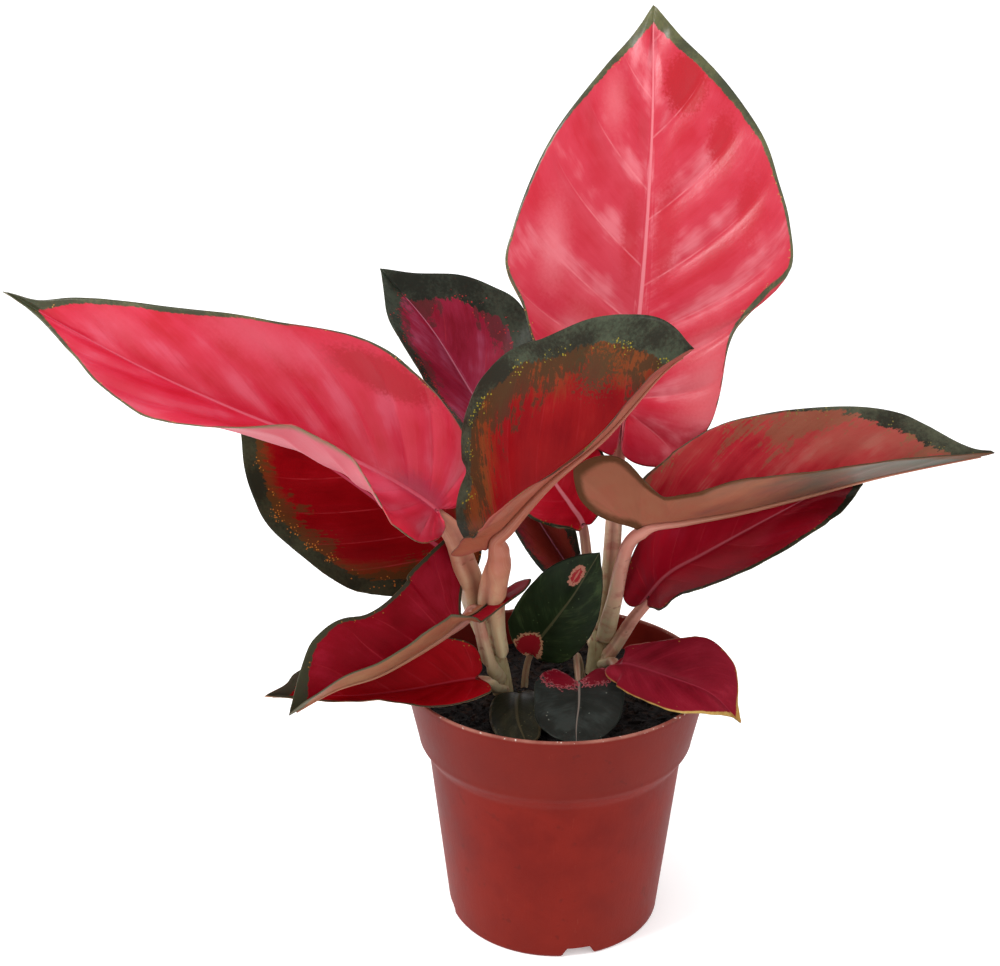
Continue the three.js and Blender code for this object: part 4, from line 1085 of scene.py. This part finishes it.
LOOKS = {
    "top_leaf": BLUSH_PAINTED_LIGHT | dict(
        slot="leaf_pink", veins=8, puff=0.1, rib_width=1.0, sheath=0.8, shine=0.35, sink=18,
        margin={-1: (0, 0.2, 0.4, 0.6, 0.8, 0.9, 1.0, 1.2, 2.2, 4.2),
                1: (0, 0.2, 0.3, 0.5, 0.9, 1.0, 1.2, 2.4, 3.8, 4.6)},
        pattern=ROSE | {"Deep": (196, 18, 44), "Field": (206, 46, 68),
                        "Pale": (226, 110, 122), "Strip shading": 0.1},
        spots=[
            spot(12.3, 1.2, 1.7, 1.2, (186, 6, 28), soft=0.3, ragged=0.7, share=0.95),
            spot(10.2, 2.6, 1.8, 0.9, (192, 10, 34), soft=0.5, ragged=0.7, share=0.9),
            spot(7.8, 3.7, 2.4, 0.8, (196, 16, 40), soft=0.6, ragged=0.7, share=0.85),
            spot(6.8, 0.7, 4.0, 0.8, (196, 18, 42), soft=0.6, ragged=0.6, share=0.8),
            spot(6.6, -0.6, 3.0, 0.6, (194, 16, 40), soft=0.6, ragged=0.6, share=0.8),
            spot(8.8, -1.9, 1.0, 0.8, (196, 24, 48), soft=0.6, ragged=0.6, share=0.6),
            # The pale spots from here on are painted sheen on the left half and, near the base and
            # its lobes, painted light that lifts the shade of the leaves around.
            spot(6.2, -3.5, 3.4, 1.2, (232, 124, 134), soft=0.9, ragged=0.3, share=0.6),
            spot(11.6, -1.4, 2.2, 0.9, (228, 112, 122), soft=0.8, ragged=0.3, share=0.6),
            spot(2.6, -2.4, 2.6, 1.4, (222, 116, 122), soft=0.8, ragged=0.3, share=0.5),
            spot(1.6, 3.0, 4.0, 2.4, (226, 112, 120), soft=0.8, ragged=0.3, share=0.7),
            spot(-0.8, -2.4, 2.6, 2.6, (222, 118, 124), soft=0.7, ragged=0.3, share=0.6),
        ],
    ),
    "left_leaf": TAN_PAINTED_LIGHT | dict(
        slot="leaf_pink", veins=9, puff=0.08, sheath=0.8, shine=0.35, flare=0.4,
        margin={-1: (0, 0.3, 0.5, 0.6, 0.6, 0.6, 0.7, 0.9, 1.4, 3.0),
                1: (0, 0.3, 0.5, 0.7, 0.8, 1.0, 1.6, 2.0, 2.2, 3.2)},
        # Its side veins are painted deep, painted shade in their creases.
        pattern=ROSE | {"Field": (216, 42, 70), "Pale": (224, 78, 102),
                        "Under": (206, 94, 108), "Under tip": (200, 92, 104),
                        "Midrib": (222, 84, 106), "Vein": (200, 34, 60),
                        "Vein share": 0.3, "Strip shading": 0.08},
        spots=[
            spot(4.2, 3.3, 3.2, 1.0, (186, 8, 34), soft=0.4, ragged=0.6, share=0.9),
            # The next two spots are painted light: they lift the shade near the base and on the
            # left lobe.
            spot(2.2, -3.4, 2.6, 2.0, (246, 32, 66), soft=0.7, ragged=0.4, share=0.8),
            spot(2.8, -0.8, 2.6, 1.2, (244, 96, 124), soft=0.8, ragged=0.4, share=0.6),
            spot(0.9, 0.2, 2.2, 1.0, (172, 48, 82), soft=0.6, ragged=0.6, share=0.6),
            # The next two pale spots are painted sheen, the pale reflection towards the tip.
            spot(8.6, 2.7, 4.8, 1.3, (226, 92, 112), soft=0.8, ragged=0.3, share=0.6),
            spot(13.4, 0.9, 2.6, 1.2, (222, 92, 110), soft=0.8, ragged=0.3, share=0.4),
            spot(9.0, -1.6, 3.6, 0.9, (206, 22, 48), soft=0.7, ragged=0.4, share=0.5),
        ],
    ),
    "centre_leaf": TAN_PAINTED_LIGHT | dict(
        slot="leaf_mottled", veins=8, sheath=1.0, shine=0.05, sink=34,
        twist=0.9, wings=1.0, flare=0.25,
        spots=[spot(9.0, -1.8, 1.6, 1.2, (70, 60, 40), soft=0.5, ragged=2.4, share=0.8)],
        margin={-1: (0, 3.0, 4.5, 5.0, 5.5, 6.0, 6.5, 8.0, 10.0, 12.0),
                1: (0, 0.5, 0.8, 0.8, 0.8, 0.8, 1.0, 1.5, 3.0, 6.0)},
        pattern=CRIMSON | {
            "Deep": (130, 8, 17), "Field": (144, 16, 21), "Pale": (160, 34, 32),
            "Stain": (118, 68, 34), "Stain reach": 13.0, "Stain share": 0.85,
            "Streak": (58, 50, 34), "Streak reach": 21.0, "Streak share": 0.75,
            "Margin": (46, 44, 36), "Margin light": (76, 82, 66), "Ragged": 1.7,
            "Fleck": (150, 136, 44), "Fleck share": 0.8, "Fleck reach": 3.4,
            "Vein share": 0.12, "Under": (166, 92, 70), "Under tip": (166, 98, 80),
            "Under margin": (150, 76, 66),
        },
    ),
    "right_leaf": BLUSH_PAINTED_LIGHT | dict(
        slot="leaf_mottled", veins=8, sheath=0.8, shine=0.08,
        margin={-1: (0, 0.4, 0.4, 0.5, 0.6, 0.8, 1.8, 5.5, 7.0, 4.0),
                1: (0, 2.4, 3.0, 2.6, 1.2, 0.8, 0.8, 1.2, 2.0, 4.0)},
        pattern=CRIMSON | {
            "Deep": (160, 16, 34), "Field": (178, 36, 48), "Pale": (184, 88, 84),
            "Cloud": 0.8, "Stain": (156, 80, 66), "Stain reach": 12.0, "Stain share": 0.3,
            "Streak": (104, 98, 66), "Streak reach": 24.0, "Streak share": 0.45,
            "Tip": (168, 106, 88), "Tip share": 0.45,
            "Margin": (48, 46, 37), "Margin light": (84, 86, 68), "Ragged": 1.7,
            "Fleck": (124, 112, 60), "Fleck share": 0.5, "Fleck reach": 4.0,
            "Vein share": 0.15, "Under": (176, 112, 86), "Under tip": (84, 94, 84),
            "Under margin": (104, 66, 42),
        },
    ),
    "back_leaf": dict(
        slot="leaf_dark_red", veins=9, sheath=0.6, shine=0.06,
        margin={-1: (0, 2.5, 3.0, 3.0, 3.2, 3.6, 4.0, 5.0, 7.0, 11.0),
                1: (0, 3.0, 5.0, 7.0, 8.0, 9.0, 10.0, 11.0, 10.0, 11.0)},
        # The patch near the base is partly the leaf's own brown and partly painted light, made
        # lighter to lift the shade it lies in.
        spots=[spot(2.6, 0.0, 3.4, 4.0, (160, 64, 50), soft=0.4, ragged=1.0, share=0.9)],
        pattern=CRIMSON | {
            "Deep": (130, 18, 38), "Field": (152, 34, 60), "Pale": (172, 76, 104),
            "Streak": (52, 50, 42), "Streak reach": 14.0, "Streak share": 0.6,
            "Margin": (40, 42, 35), "Margin light": (66, 72, 60), "Ragged": 2.0,
            "Fleck": (186, 52, 52), "Fleck share": 0.7, "Fleck reach": 5.5,
            "Midrib": (190, 110, 130), "Under": (124, 60, 56),
            "Under tip": (96, 70, 56),
        },
    ),
    "lower_left_leaf": dict(
        slot="leaf_crimson", veins=8, sheath=0.5, shine=0.04,
        margin={-1: (0, 0.6, 2.5, 4.5, 5.5, 5.5, 5.5, 5.5, 6.0, 7.0),
                1: (0, 0.5, 0.8, 1.4, 3.2, 5.0, 5.5, 5.5, 6.0, 7.0)},
        pattern=CRIMSON | {
            "Deep": (122, 2, 9), "Field": (140, 4, 13), "Pale": (158, 12, 24),
            "Stain": (104, 58, 26), "Stain reach": 6.0, "Stain share": 0.7,
            "Streak": (70, 58, 28), "Streak reach": 12.0, "Streak share": 0.65,
            "Ragged": 1.5, "Fleck": (190, 112, 42), "Fleck share": 0.7, "Fleck reach": 4.0,
            "Vein": (196, 60, 66), "Vein share": 0.4,
        },
    ),
    "front_left_leaf": dict(
        slot="leaf_crimson", veins=7, sheath=0.5, shine=0.03,
        margin={-1: (0, 0.6, 0.8, 0.8, 0.9, 1.0, 1.4, 2.0, 3.0, 6.0),
                1: (0, 0.6, 1.0, 1.2, 1.4, 1.4, 1.6, 2.0, 3.0, 6.0)},
        pattern=CRIMSON | {
            "Deep": (118, 5, 17), "Field": (134, 9, 25), "Pale": (152, 22, 42),
            "Margin": (62, 58, 46), "Ragged": 0.6, "Midrib": (206, 110, 116),
            "Under": (172, 112, 84), "Under tip": (160, 116, 86),
            "Under margin": (100, 96, 76),
        },
    ),
    "low_front_leaf": dict(
        # The stalk's middle colour is painted pale, painted light that lifts the shade at the foot
        # of the left crown.
        slot="leaf_crimson", veins=7, sheath=0.4, shine=0.03, middle=(206, 186, 146),
        rib_width=0.45,
        margin={-1: (0, 0.6, 0.6, 0.7, 0.8, 1.0, 2.0, 5.0),
                1: (0, 0.5, 0.6, 0.7, 0.8, 1.0, 2.0, 5.0)},
        pattern=CRIMSON | {
            "Deep": (140, 4, 12), "Field": (158, 8, 20), "Pale": (170, 20, 32),
            "Margin": (70, 62, 52), "Ragged": 0.6, "Under": (136, 60, 54),
            "Under margin": (180, 140, 110), "Vein share": 0.2,
            "Midrib": (160, 36, 48),
        },
    ),
    "small_back_leaf": dict(
        slot="leaf_crimson", veins=6, sheath=0.5, shine=0.05,
        margin=both(0, 0.6, 0.8, 0.9, 1.0, 1.2, 2.0, 3.0),
        pattern=CRIMSON | {
            "Deep": (160, 8, 24), "Field": (178, 14, 34), "Pale": (196, 38, 60),
            "Midrib": (216, 120, 130),
        },
    ),
    "lower_right_leaf": BLUSH_PAINTED_LIGHT | dict(
        slot="leaf_crimson", veins=7, sheath=0.4, shine=0.05,
        margin={-1: (0, 0.4, 0.6, 0.8, 0.9, 1.0, 1.4, 2.4),
                1: (0, 0.5, 0.9, 1.2, 1.4, 1.6, 2.0, 3.0)},
        # Deep, Field and Pale are painted lighter than on the other crimson leaves, painted light
        # that lifts the shade falling on this leaf. The stain here darkens the blade towards its
        # edge.
        pattern=CRIMSON | {
            "Deep": (146, 8, 27), "Field": (166, 12, 35), "Pale": (178, 32, 56),
            "Stain": (110, 30, 40), "Stain reach": 9.0, "Stain share": 0.5,
            "Ragged": 0.7, "Midrib": (190, 84, 96),
        },
    ),
    "front_right_leaf": dict(
        slot="leaf_crimson", veins=6, sheath=0.3, shine=0.05, rib_width=0.5,
        margin={-1: (0, 0.0, 0.0, 0.1, 0.1, 0.2, 0.4, 1.6),
                1: (0, 0.1, 0.2, 0.3, 0.6, 0.9, 1.2, 2.0)},
        pattern=CRIMSON | {
            "Deep": (108, 12, 26), "Field": (132, 20, 38), "Pale": (152, 34, 52),
            "Margin": (170, 130, 66), "Margin light": (204, 172, 100),
            "Ragged": 0.8, "Fleck share": 0.1, "Vein share": 0.12, "Midrib": (150, 40, 58),
        },
    ),
    "green_leaf": dict(
        slot="leaf_green", veins=7, sheath=0.3, shine=0.08, rib_width=0.7,
        middle=(190, 160, 128), neck=(170, 130, 100),
        margin=both(0, 0.2, 0.3, 0.4, 0.5),
        pattern=CRIMSON | {
            "Deep": (14, 24, 10), "Field": (30, 42, 22), "Pale": (66, 82, 48),
            "Cloud": 1.0, "Margin": (24, 28, 18), "Margin light": (38, 46, 28),
            "Fleck": (60, 74, 44), "Fleck share": 0.05, "Fleck reach": 30.0,
            "Vein share": 0.0, "Midrib": (76, 74, 50),
            "Under": (96, 100, 66), "Under tip": (80, 86, 56),
            "Under margin": (60, 64, 40),
        },
        spots=[
            spot(0.45, -0.2, 0.6, 0.62, (148, 24, 34), rim=(188, 138, 106), heart=0.4,
                 ring=0.15, ragged=0.9),
            spot(4.25, -0.3, 0.52, 0.24, (158, 36, 44), rim=(178, 116, 98), ring=0.3,
                 ragged=1.0),
            spot(4.25, -0.3, 0.4, 0.05, (176, 104, 90), ragged=1.0),
        ],
    ),
    "round_leaf": dict(
        slot="leaf_bluegreen", veins=6, sheath=0.2, shine=0.08, rib_width=0.5,
        middle=(150, 124, 96), neck=(120, 92, 74),
        margin=both(0, 0.2, 0.3, 0.4, 0.5),
        pattern=CRIMSON | {
            "Deep": (30, 32, 29), "Field": (39, 41, 38), "Pale": (54, 58, 55),
            "Cloud": 0.7, "Margin": (30, 32, 28), "Margin light": (46, 50, 44),
            "Fleck": (120, 122, 112), "Fleck share": 0.03, "Fleck reach": 30.0,
            "Vein share": 0.0, "Midrib": (120, 108, 100),
            "Under": (86, 96, 80), "Under tip": (80, 88, 72),
            "Under margin": (50, 56, 46),
        },
        spots=[
            spot(along, across, length, width, (112, 14, 30), rim=(168, 84, 90), ring=0.12,
                 ragged=2.0)
            for along, across, length, width in ((-0.1, 0.75, 0.62, 0.75),
                                                 (-0.2, -0.75, 0.55, 0.7))
        ],
    ),
    "olive_leaf": dict(
        slot="leaf_olive", veins=6, sheath=0.2, shine=0.12,
        margin={-1: (0, 0.8, 1.0, 1.0, 0.8), 1: (0, 0.6, 0.8, 0.8, 0.6)},
        pattern=CRIMSON | {
            "Deep": (28, 28, 20), "Field": (36, 36, 26), "Pale": (52, 50, 36),
            "Cloud": 0.8, "Margin": (52, 45, 32), "Margin light": (76, 66, 46),
            "Fleck": (70, 66, 44), "Fleck share": 0.3, "Fleck reach": 30.0,
            "Vein share": 0.0, "Midrib": (66, 60, 42),
            "Under": (84, 78, 54), "Under tip": (80, 74, 50),
            "Under margin": (64, 58, 40),
        },
    ),
}

# ---- the leaves -----------------------------------------------------------------------------

def make_leaf(name, seed):
    """One leaf: its blade with the veins and its stalk with the midrib, both in its node's
    place."""
    leaf = LEAVES[name]
    look = PLAIN | LOOKS[name]
    midline = Midline(leaf)
    rows, columns = FINE_GRID if midline.length > BIG_LEAF else PLAIN_GRID
    points, faces, attributes = blade_sheet(midline, look, rows, columns, seed)
    new_piece(name + "_blade", points, faces, name,
              leaf_material(name + "_face", look), attributes)
    points, faces, attributes = stalk_tube(midline, look, seed)
    new_piece(name + "_stalk", points, faces, name,
              stalk_material(name + "_stalk", look), attributes)


for number, leaf_name in enumerate(LEAVES):
    make_leaf(leaf_name, 1.7 * number + 0.3)


# ---- canes ----------------------------------------------------------------------------------

def make_cane(name, cane, material):
    """A short cane wrapped in old leaf bases, a little thicker below each of their ends."""
    line = catmull_rom(cane["line"], 120)
    at = lengths_along(line)
    ahead = unit(np.gradient(line, axis=0))
    side = unit(np.cross(ahead, [0, 1, 0]))
    other = np.cross(ahead, side)
    radii = read_list(cane["radii"], at / at[-1])
    ring = (at / 13 + 0.4) % 1
    radii = radii * (1.02 + 0.025 * smooth(ring, 0.0, 0.9) - 0.025 * smooth(ring, 0.93, 1.0))
    angle = FULL_TURN * np.arange(36) / 36
    uneven = 1 + 0.02 * np.sin(2 * angle[None] + at[:, None] / 6)
    girth = radii[:, None] * uneven
    points, faces = tube(line, side, other, girth, girth, 36)
    new_piece(name + "_skin", points, faces, name, material)


cane_skin = cane_material()
for cane_name, cane_shape in CANES.items():
    make_cane(cane_name, cane_shape, cane_skin)

# ---- pot ------------------------------------------------------------------------------------

# In mm. rim, foot and boss are outer radii. band and body: outer radius and height of the rim
# band's lower end and of the body's upper end. floor: heights of its lower and upper side.
# ring: width of the foot ring. notch: how many, width, height and the first one's angle in
# degrees. drain: how many holes, their radius and their distance from the axis.
POT = dict(height=104, rim=60, band=(54.4, 78), body=(50.4, 70), foot=42.6, wall=1.5,
           floor=(4, 5.8), ring=4.5, boss=9, notch=(4, 15, 4, -76), drain=(4, 4, 26))
SOIL_TOP = 90


def pot_radius(z):
    """Outer radius of the pot: the tapering body, a curved step, then the rim band."""
    z = np.asarray(z, float)
    band_radius, band_z = POT["band"]
    body_radius, body_z = POT["body"]
    body = POT["foot"] + (body_radius - POT["foot"]) * z / body_z
    step = body_radius + (band_radius - body_radius) * smooth(z, body_z, band_z)
    band = band_radius + (POT["rim"] - band_radius) * (z - band_z) / (POT["height"] - band_z)
    return np.where(z <= body_z, body, np.where(z <= band_z, step, band))


def turned(profile, angles, lift=None):
    """A profile of (radius, height) turned round the z axis into a closed skin. Its first and
    last points lie on the axis. lift changes the heights by angle."""
    profile = np.asarray(profile, float)
    radius = profile[1:-1, 0][:, None]
    height = profile[1:-1, 1][:, None] + 0 * angles[None]
    if lift is not None:
        height = lift(radius, height, angles[None])
    ring = np.stack([radius * np.cos(angles), radius * np.sin(angles), height], -1)
    ends = [[0, 0, profile[0, 1]], [0, 0, profile[-1, 1]]]
    points = np.concatenate([ring.reshape(-1, 3), ends])
    return points, closed_faces(len(profile) - 2, len(angles))


def notch_lift(radius, height, angles):
    """Raises the foot ring's low points inside the drain notches, which narrow upwards."""
    count, width, tall, first = POT["notch"]
    turn = FULL_TURN / count
    off = (angles - math.radians(first) + turn / 2) % turn - turn / 2
    across = np.abs(radius * np.sin(off))
    inner_ring = POT["foot"] - POT["ring"] - 1.5
    notch = np.clip((width / 2 - across) * 5 / 3 - 1, 0, tall - 0.02) * (radius > inner_ring)
    return np.maximum(height, notch * (height < tall))


def arc(centre, radius, start, end, count=7):
    """Points of an arc in the profile's plane, angles in degrees."""
    angles = np.radians(np.linspace(start, end, count))
    return [(centre[0] + radius * math.cos(a), centre[1] + radius * math.sin(a)) for a in angles]


def pot_profile():
    """The pot's half section as (radius, height), from the middle of its underside outwards:
    boss, floor, foot ring, body, band, rounded rim, inner wall and floor again. Also how many
    of its last points are inside the pot."""
    height, wall, foot, boss = POT["height"], POT["wall"], POT["foot"], POT["boss"]
    under, over = POT["floor"]
    rim = float(pot_radius(height))
    ring_in = foot - POT["ring"]
    outside = np.concatenate([np.linspace(0.9, 4, 5), np.linspace(7, 69, 18),
                              np.linspace(70, 78, 13), np.linspace(80, height - 1.0, 14)])
    inside = np.concatenate([np.linspace(height - 1.0, 80, 12), np.linspace(78, 70, 9),
                             np.linspace(66, over + 1.2, 14)])
    base = [(0, 0), (boss - 0.5, 0), *arc((boss - 0.5, 0.5), 0.5, -90, 0, 4),
            (boss + 0.8, under - 0.3), (boss + 1.3, under), (20, under), (ring_in - 1.5, under),
            (ring_in - 1.0, under - 0.4), (ring_in - 0.1, 0.4), (ring_in + 0.3, 0),
            (foot - 0.9, 0), (foot - 0.35, 0.25)]
    lip = [(rim - 0.25, height - 0.45), (rim - 0.5, height - 0.12), (rim - 0.75, height),
           (rim - wall + 0.5, height), (rim - wall + 0.25, height - 0.12),
           (rim - wall + 0.05, height - 0.45)]
    bottom = [(float(pot_radius(over)) - wall - 1, over), (20, over), (0, over)]
    profile = [*base, *zip(pot_radius(outside), outside), *lip,
               *zip(pot_radius(inside) - wall, inside), *bottom]
    return profile, len(inside) + len(bottom)


def pot_angles():
    """Even steps round the pot, with more of them at the corners of the drain notches."""
    even = np.linspace(0, FULL_TURN, 193)[:-1]
    count, _, _, first = POT["notch"]
    corners = np.array([-0.164, -0.162, -0.107, -0.105, 0.105, 0.107, 0.162, 0.164])
    turns = math.radians(first) + FULL_TURN / count * np.arange(count)
    return np.unique(np.concatenate([even, ((turns[:, None] + corners) % FULL_TURN).ravel()]))


def drain_drills():
    """Upright round rods where the drain holes go, all in one mesh object."""
    under, over = POT["floor"]
    count, radius, from_axis = POT["drain"]
    ends = np.array([[0, 0, under - 3.0], [0, 0, over + 3.0]])
    girth = np.full((2, 32), float(radius))
    rod, sides = tube(ends, np.array([[1.0, 0, 0]] * 2), np.array([[0, 1.0, 0]] * 2), girth,
                      girth, 32)
    turns = FULL_TURN * np.arange(count) / count
    points = np.concatenate([rod + [from_axis * math.cos(turn), from_axis * math.sin(turn), 0]
                             for turn in turns]) * MM
    faces = np.concatenate([sides + k * len(rod) for k in range(count)])
    mesh = bpy.data.meshes.new("drill")
    mesh.from_pydata(points.tolist(), [], faces.tolist())
    drills = bpy.data.objects.new("drill", mesh)
    bpy.context.scene.collection.objects.link(drills)
    return drills


def make_pot():
    """The pot as one turned skin with the drain holes cut through its floor."""
    profile, count_inside = pot_profile()
    angles = pot_angles()
    points, faces = turned(profile, angles, notch_lift)
    in_profile = np.append(np.repeat(np.arange(1, len(profile) - 1), len(angles)), [0, 0])
    inner = in_profile > len(profile) - count_inside - 1
    wall_side = {"inner": np.stack([inner, inner, inner], -1).astype(float)}
    pot = new_piece("pot_shell", points, faces, "pot", pot_material(),
                    wall_side, sharp=38)
    drills = drain_drills()
    cut = pot.modifiers.new("drain_holes", "BOOLEAN")
    cut.operation = "DIFFERENCE"
    cut.solver = "EXACT"
    cut.object = drills
    depsgraph = bpy.context.evaluated_depsgraph_get()
    finished = bpy.data.meshes.new_from_object(pot.evaluated_get(depsgraph))
    pot.modifiers.clear()
    pot.data = finished
    bpy.data.objects.remove(drills)


# ---- potting mix ----------------------------------------------------------------------------

def lumps(x, y, seed, waves, size):
    """A rough field between about -1 and 1: a sum of waves in seeded directions."""
    rng = np.random.default_rng(seed)
    total = np.zeros(np.broadcast(x, y).shape)
    for _ in range(waves):
        turn, phase = rng.uniform(0, FULL_TURN), rng.uniform(0, FULL_TURN)
        scale = rng.uniform(0.6, 1.7)
        along = x * math.cos(turn) + y * math.sin(turn)
        total += np.sin(along * scale * FULL_TURN / size + phase)
    return total / math.sqrt(waves / 2) / 1.6


def soil_height(x, y):
    """Height of the potting mix: a low mound with lumps of three sizes. Each kind of lump has
    its height and size in mm, the seed of its directions and how many waves it sums."""
    edge = float(pot_radius(SOIL_TOP)) - POT["wall"]
    mound = 1.0 * (1 - (x * x + y * y) / edge**2)
    kinds = ((0.55, 24, 3, 9), (0.35, 7, 4, 12), (0.28, 2.6, 5, 14))
    rough = sum(height * lumps(x, y, seed, waves, size) for height, size, seed, waves in kinds)
    return SOIL_TOP - 0.1 + mound + rough


def make_soil():
    """The potting mix: a rough top to the pot's wall, and plain sides down to its floor."""
    bottom = POT["floor"][1] + 0.3
    edge = float(pot_radius(SOIL_TOP)) - POT["wall"] - 0.15
    angles = np.linspace(0, FULL_TURN, 257)[:-1]
    low = [(0, bottom), (20, bottom)]
    sides = [(float(pot_radius(z)) - POT["wall"] - 0.4, z) for z in (bottom, 30, 70, 74, 78, 86)]
    rings = [(edge * (1 - k / 90)**0.9, SOIL_TOP) for k in range(91)]
    points, faces = turned(low + sides + rings, angles)
    top = points[:, 2] > SOIL_TOP - 1
    points[top, 2] = soil_height(points[top, 0], points[top, 1])
    new_piece("soil_body", points, faces, "soil", SOIL_LOOK)


CRUMBS = 1100       # loose grains on the mix
FIBRES = 140        # of them, the long thin ones


def twenty_sided():
    """Corners and triangles of a ball with twenty faces."""
    gold = (1 + math.sqrt(5)) / 2
    corners = unit([(-1, gold, 0), (1, gold, 0), (-1, -gold, 0), (1, -gold, 0), (0, -1, gold),
                    (0, 1, gold), (0, -1, -gold), (0, 1, -gold), (gold, 0, -1), (gold, 0, 1),
                    (-gold, 0, -1), (-gold, 0, 1)])
    faces = np.array([(0, 11, 5), (0, 5, 1), (0, 1, 7), (0, 7, 10), (0, 10, 11), (1, 5, 9),
                      (5, 11, 4), (11, 10, 2), (10, 7, 6), (7, 1, 8), (3, 9, 4), (3, 4, 2),
                      (3, 2, 6), (3, 6, 8), (3, 8, 9), (4, 9, 5), (2, 4, 11), (6, 2, 10),
                      (8, 6, 7), (9, 8, 1)])
    return corners, faces


def turned_by(a, b, angle):
    """Two coordinates of every grain turned by that grain's angle."""
    cosine, sine = np.cos(angle)[:, None], np.sin(angle)[:, None]
    return a * cosine - b * sine, a * sine + b * cosine


def make_crumbs():
    """Loose crumbs of bark and peat on the mix: many rough twenty-sided grains in one mesh,
    most of them small, and some thin fibres. Each is stretched, dented, tilted and turned."""
    rng = np.random.default_rng(11)
    ball, skin = twenty_sided()
    size = 0.45 + 1.5 * rng.random(CRUMBS)**3
    stretch = np.stack([1 + 0.9 * rng.random(CRUMBS), 0.8 + 0.4 * rng.random(CRUMBS),
                        0.45 + 0.4 * rng.random(CRUMBS)], -1)
    size[:FIBRES] = 0.22
    thin = np.ones(FIBRES)
    stretch[:FIBRES] = np.stack([rng.uniform(9, 22, FIBRES), thin, thin], -1)
    grain = ball[None] * (1 + 0.5 * (rng.random((CRUMBS, len(ball), 1)) - 0.5))
    grain = grain * (stretch * size[:, None])[:, None]
    turn = rng.uniform(0, FULL_TURN, CRUMBS)
    tilt = rng.normal(0, 0.25, CRUMBS)
    x, z = turned_by(grain[..., 0], grain[..., 2], tilt)
    x, y = turned_by(x, grain[..., 1], turn)

    reach = float(pot_radius(SOIL_TOP)) - POT["wall"] - 2.5
    out = reach * np.sqrt(rng.random(CRUMBS))
    out[:FIBRES] = out[:FIBRES] * 0.92
    around = rng.uniform(0, FULL_TURN, CRUMBS)
    centre_x, centre_y = out * np.cos(around), out * np.sin(around)
    base = soil_height(centre_x, centre_y) + 0.12 * size
    points = np.stack([x + centre_x[:, None], y + centre_y[:, None], z + base[:, None]], -1)
    faces = (skin[None] + len(ball) * np.arange(CRUMBS)[:, None, None]).reshape(-1, 3)
    new_piece("soil_crumbs", points.reshape(-1, 3), faces, "soil", SOIL_LOOK,
              sharp=25)


SOIL_LOOK = soil_material()
make_pot()
make_soil()
make_crumbs()

# ---- floor, light and camera ----------------------------------------------------------------


# Places in metres, powers in watts. Both lights are turned to the middle of the plant.
MIDDLE = (0, 0, 0.2)
LIGHTS = {
    "key": dict(place=(-0.9, -0.6, 1.4), size=0.45, power=18),
    "fill": dict(place=(1.2, -0.8, 0.9), size=0.9, power=3),
}
FLOOR = {"Base Color": (0.93, 0.93, 0.93, 1), "Roughness": 0.9, "Specular IOR Level": 0.1,
         "Emission Color": (1, 1, 1, 1), "Emission Strength": 0.32}
FLOOR_REACH = 30.0
EYE = (0, -0.536, 0.368)
LOOKED_AT = (-0.022, 0, 0.181)


def turned_to(place, target):
    """The turn that points a light or a camera from its place to a target."""
    return (Vector(target) - Vector(place)).to_track_quat("-Z", "Y").to_euler()


def make_floor():
    """A plain pale floor under everything."""
    mesh = bpy.data.meshes.new("floor")
    reach = FLOOR_REACH
    corners = [(-reach, -reach, 0), (reach, -reach, 0), (reach, reach, 0), (-reach, reach, 0)]
    mesh.from_pydata(corners, [], [(0, 1, 2, 3)])
    material, _, shader, _ = new_material("studio_floor")
    for label, value in FLOOR.items():
        shader.inputs[label].default_value = value
    mesh.materials.append(material)
    floor = bpy.data.objects.new("floor", mesh)
    bpy.context.scene.collection.objects.link(floor)


def add_light(name, place, size, power):
    """A soft square area light."""
    light = bpy.data.lights.new(name, "AREA")
    light.size = size
    light.energy = power
    lamp = bpy.data.objects.new(name, light)
    lamp.location = place
    lamp.rotation_euler = turned_to(place, MIDDLE)
    bpy.context.scene.collection.objects.link(lamp)


def add_camera():
    """The photograph's view: from a little above, in front of the plant."""
    camera = bpy.data.cameras.new("camera")
    camera.lens = 54.07
    camera.sensor_width = 36
    camera.clip_start = 0.01
    camera.clip_end = 100
    holder = bpy.data.objects.new("camera", camera)
    holder.location = EYE
    holder.rotation_euler = turned_to(EYE, LOOKED_AT)
    bpy.context.scene.collection.objects.link(holder)
    bpy.context.scene.camera = holder


def light_the_world():
    """An even white surround."""
    world = bpy.data.worlds.new("studio")
    world.use_nodes = True
    background = next(node for node in world.node_tree.nodes if node.type == "BACKGROUND")
    background.inputs["Color"].default_value = (1, 1, 1, 1)
    background.inputs["Strength"].default_value = 1.0
    bpy.context.scene.world = world


make_floor()
light_the_world()
for light_name, light in LIGHTS.items():
    add_light(light_name, **light)
add_camera()
bpy.context.scene.view_settings.view_transform = "Standard"
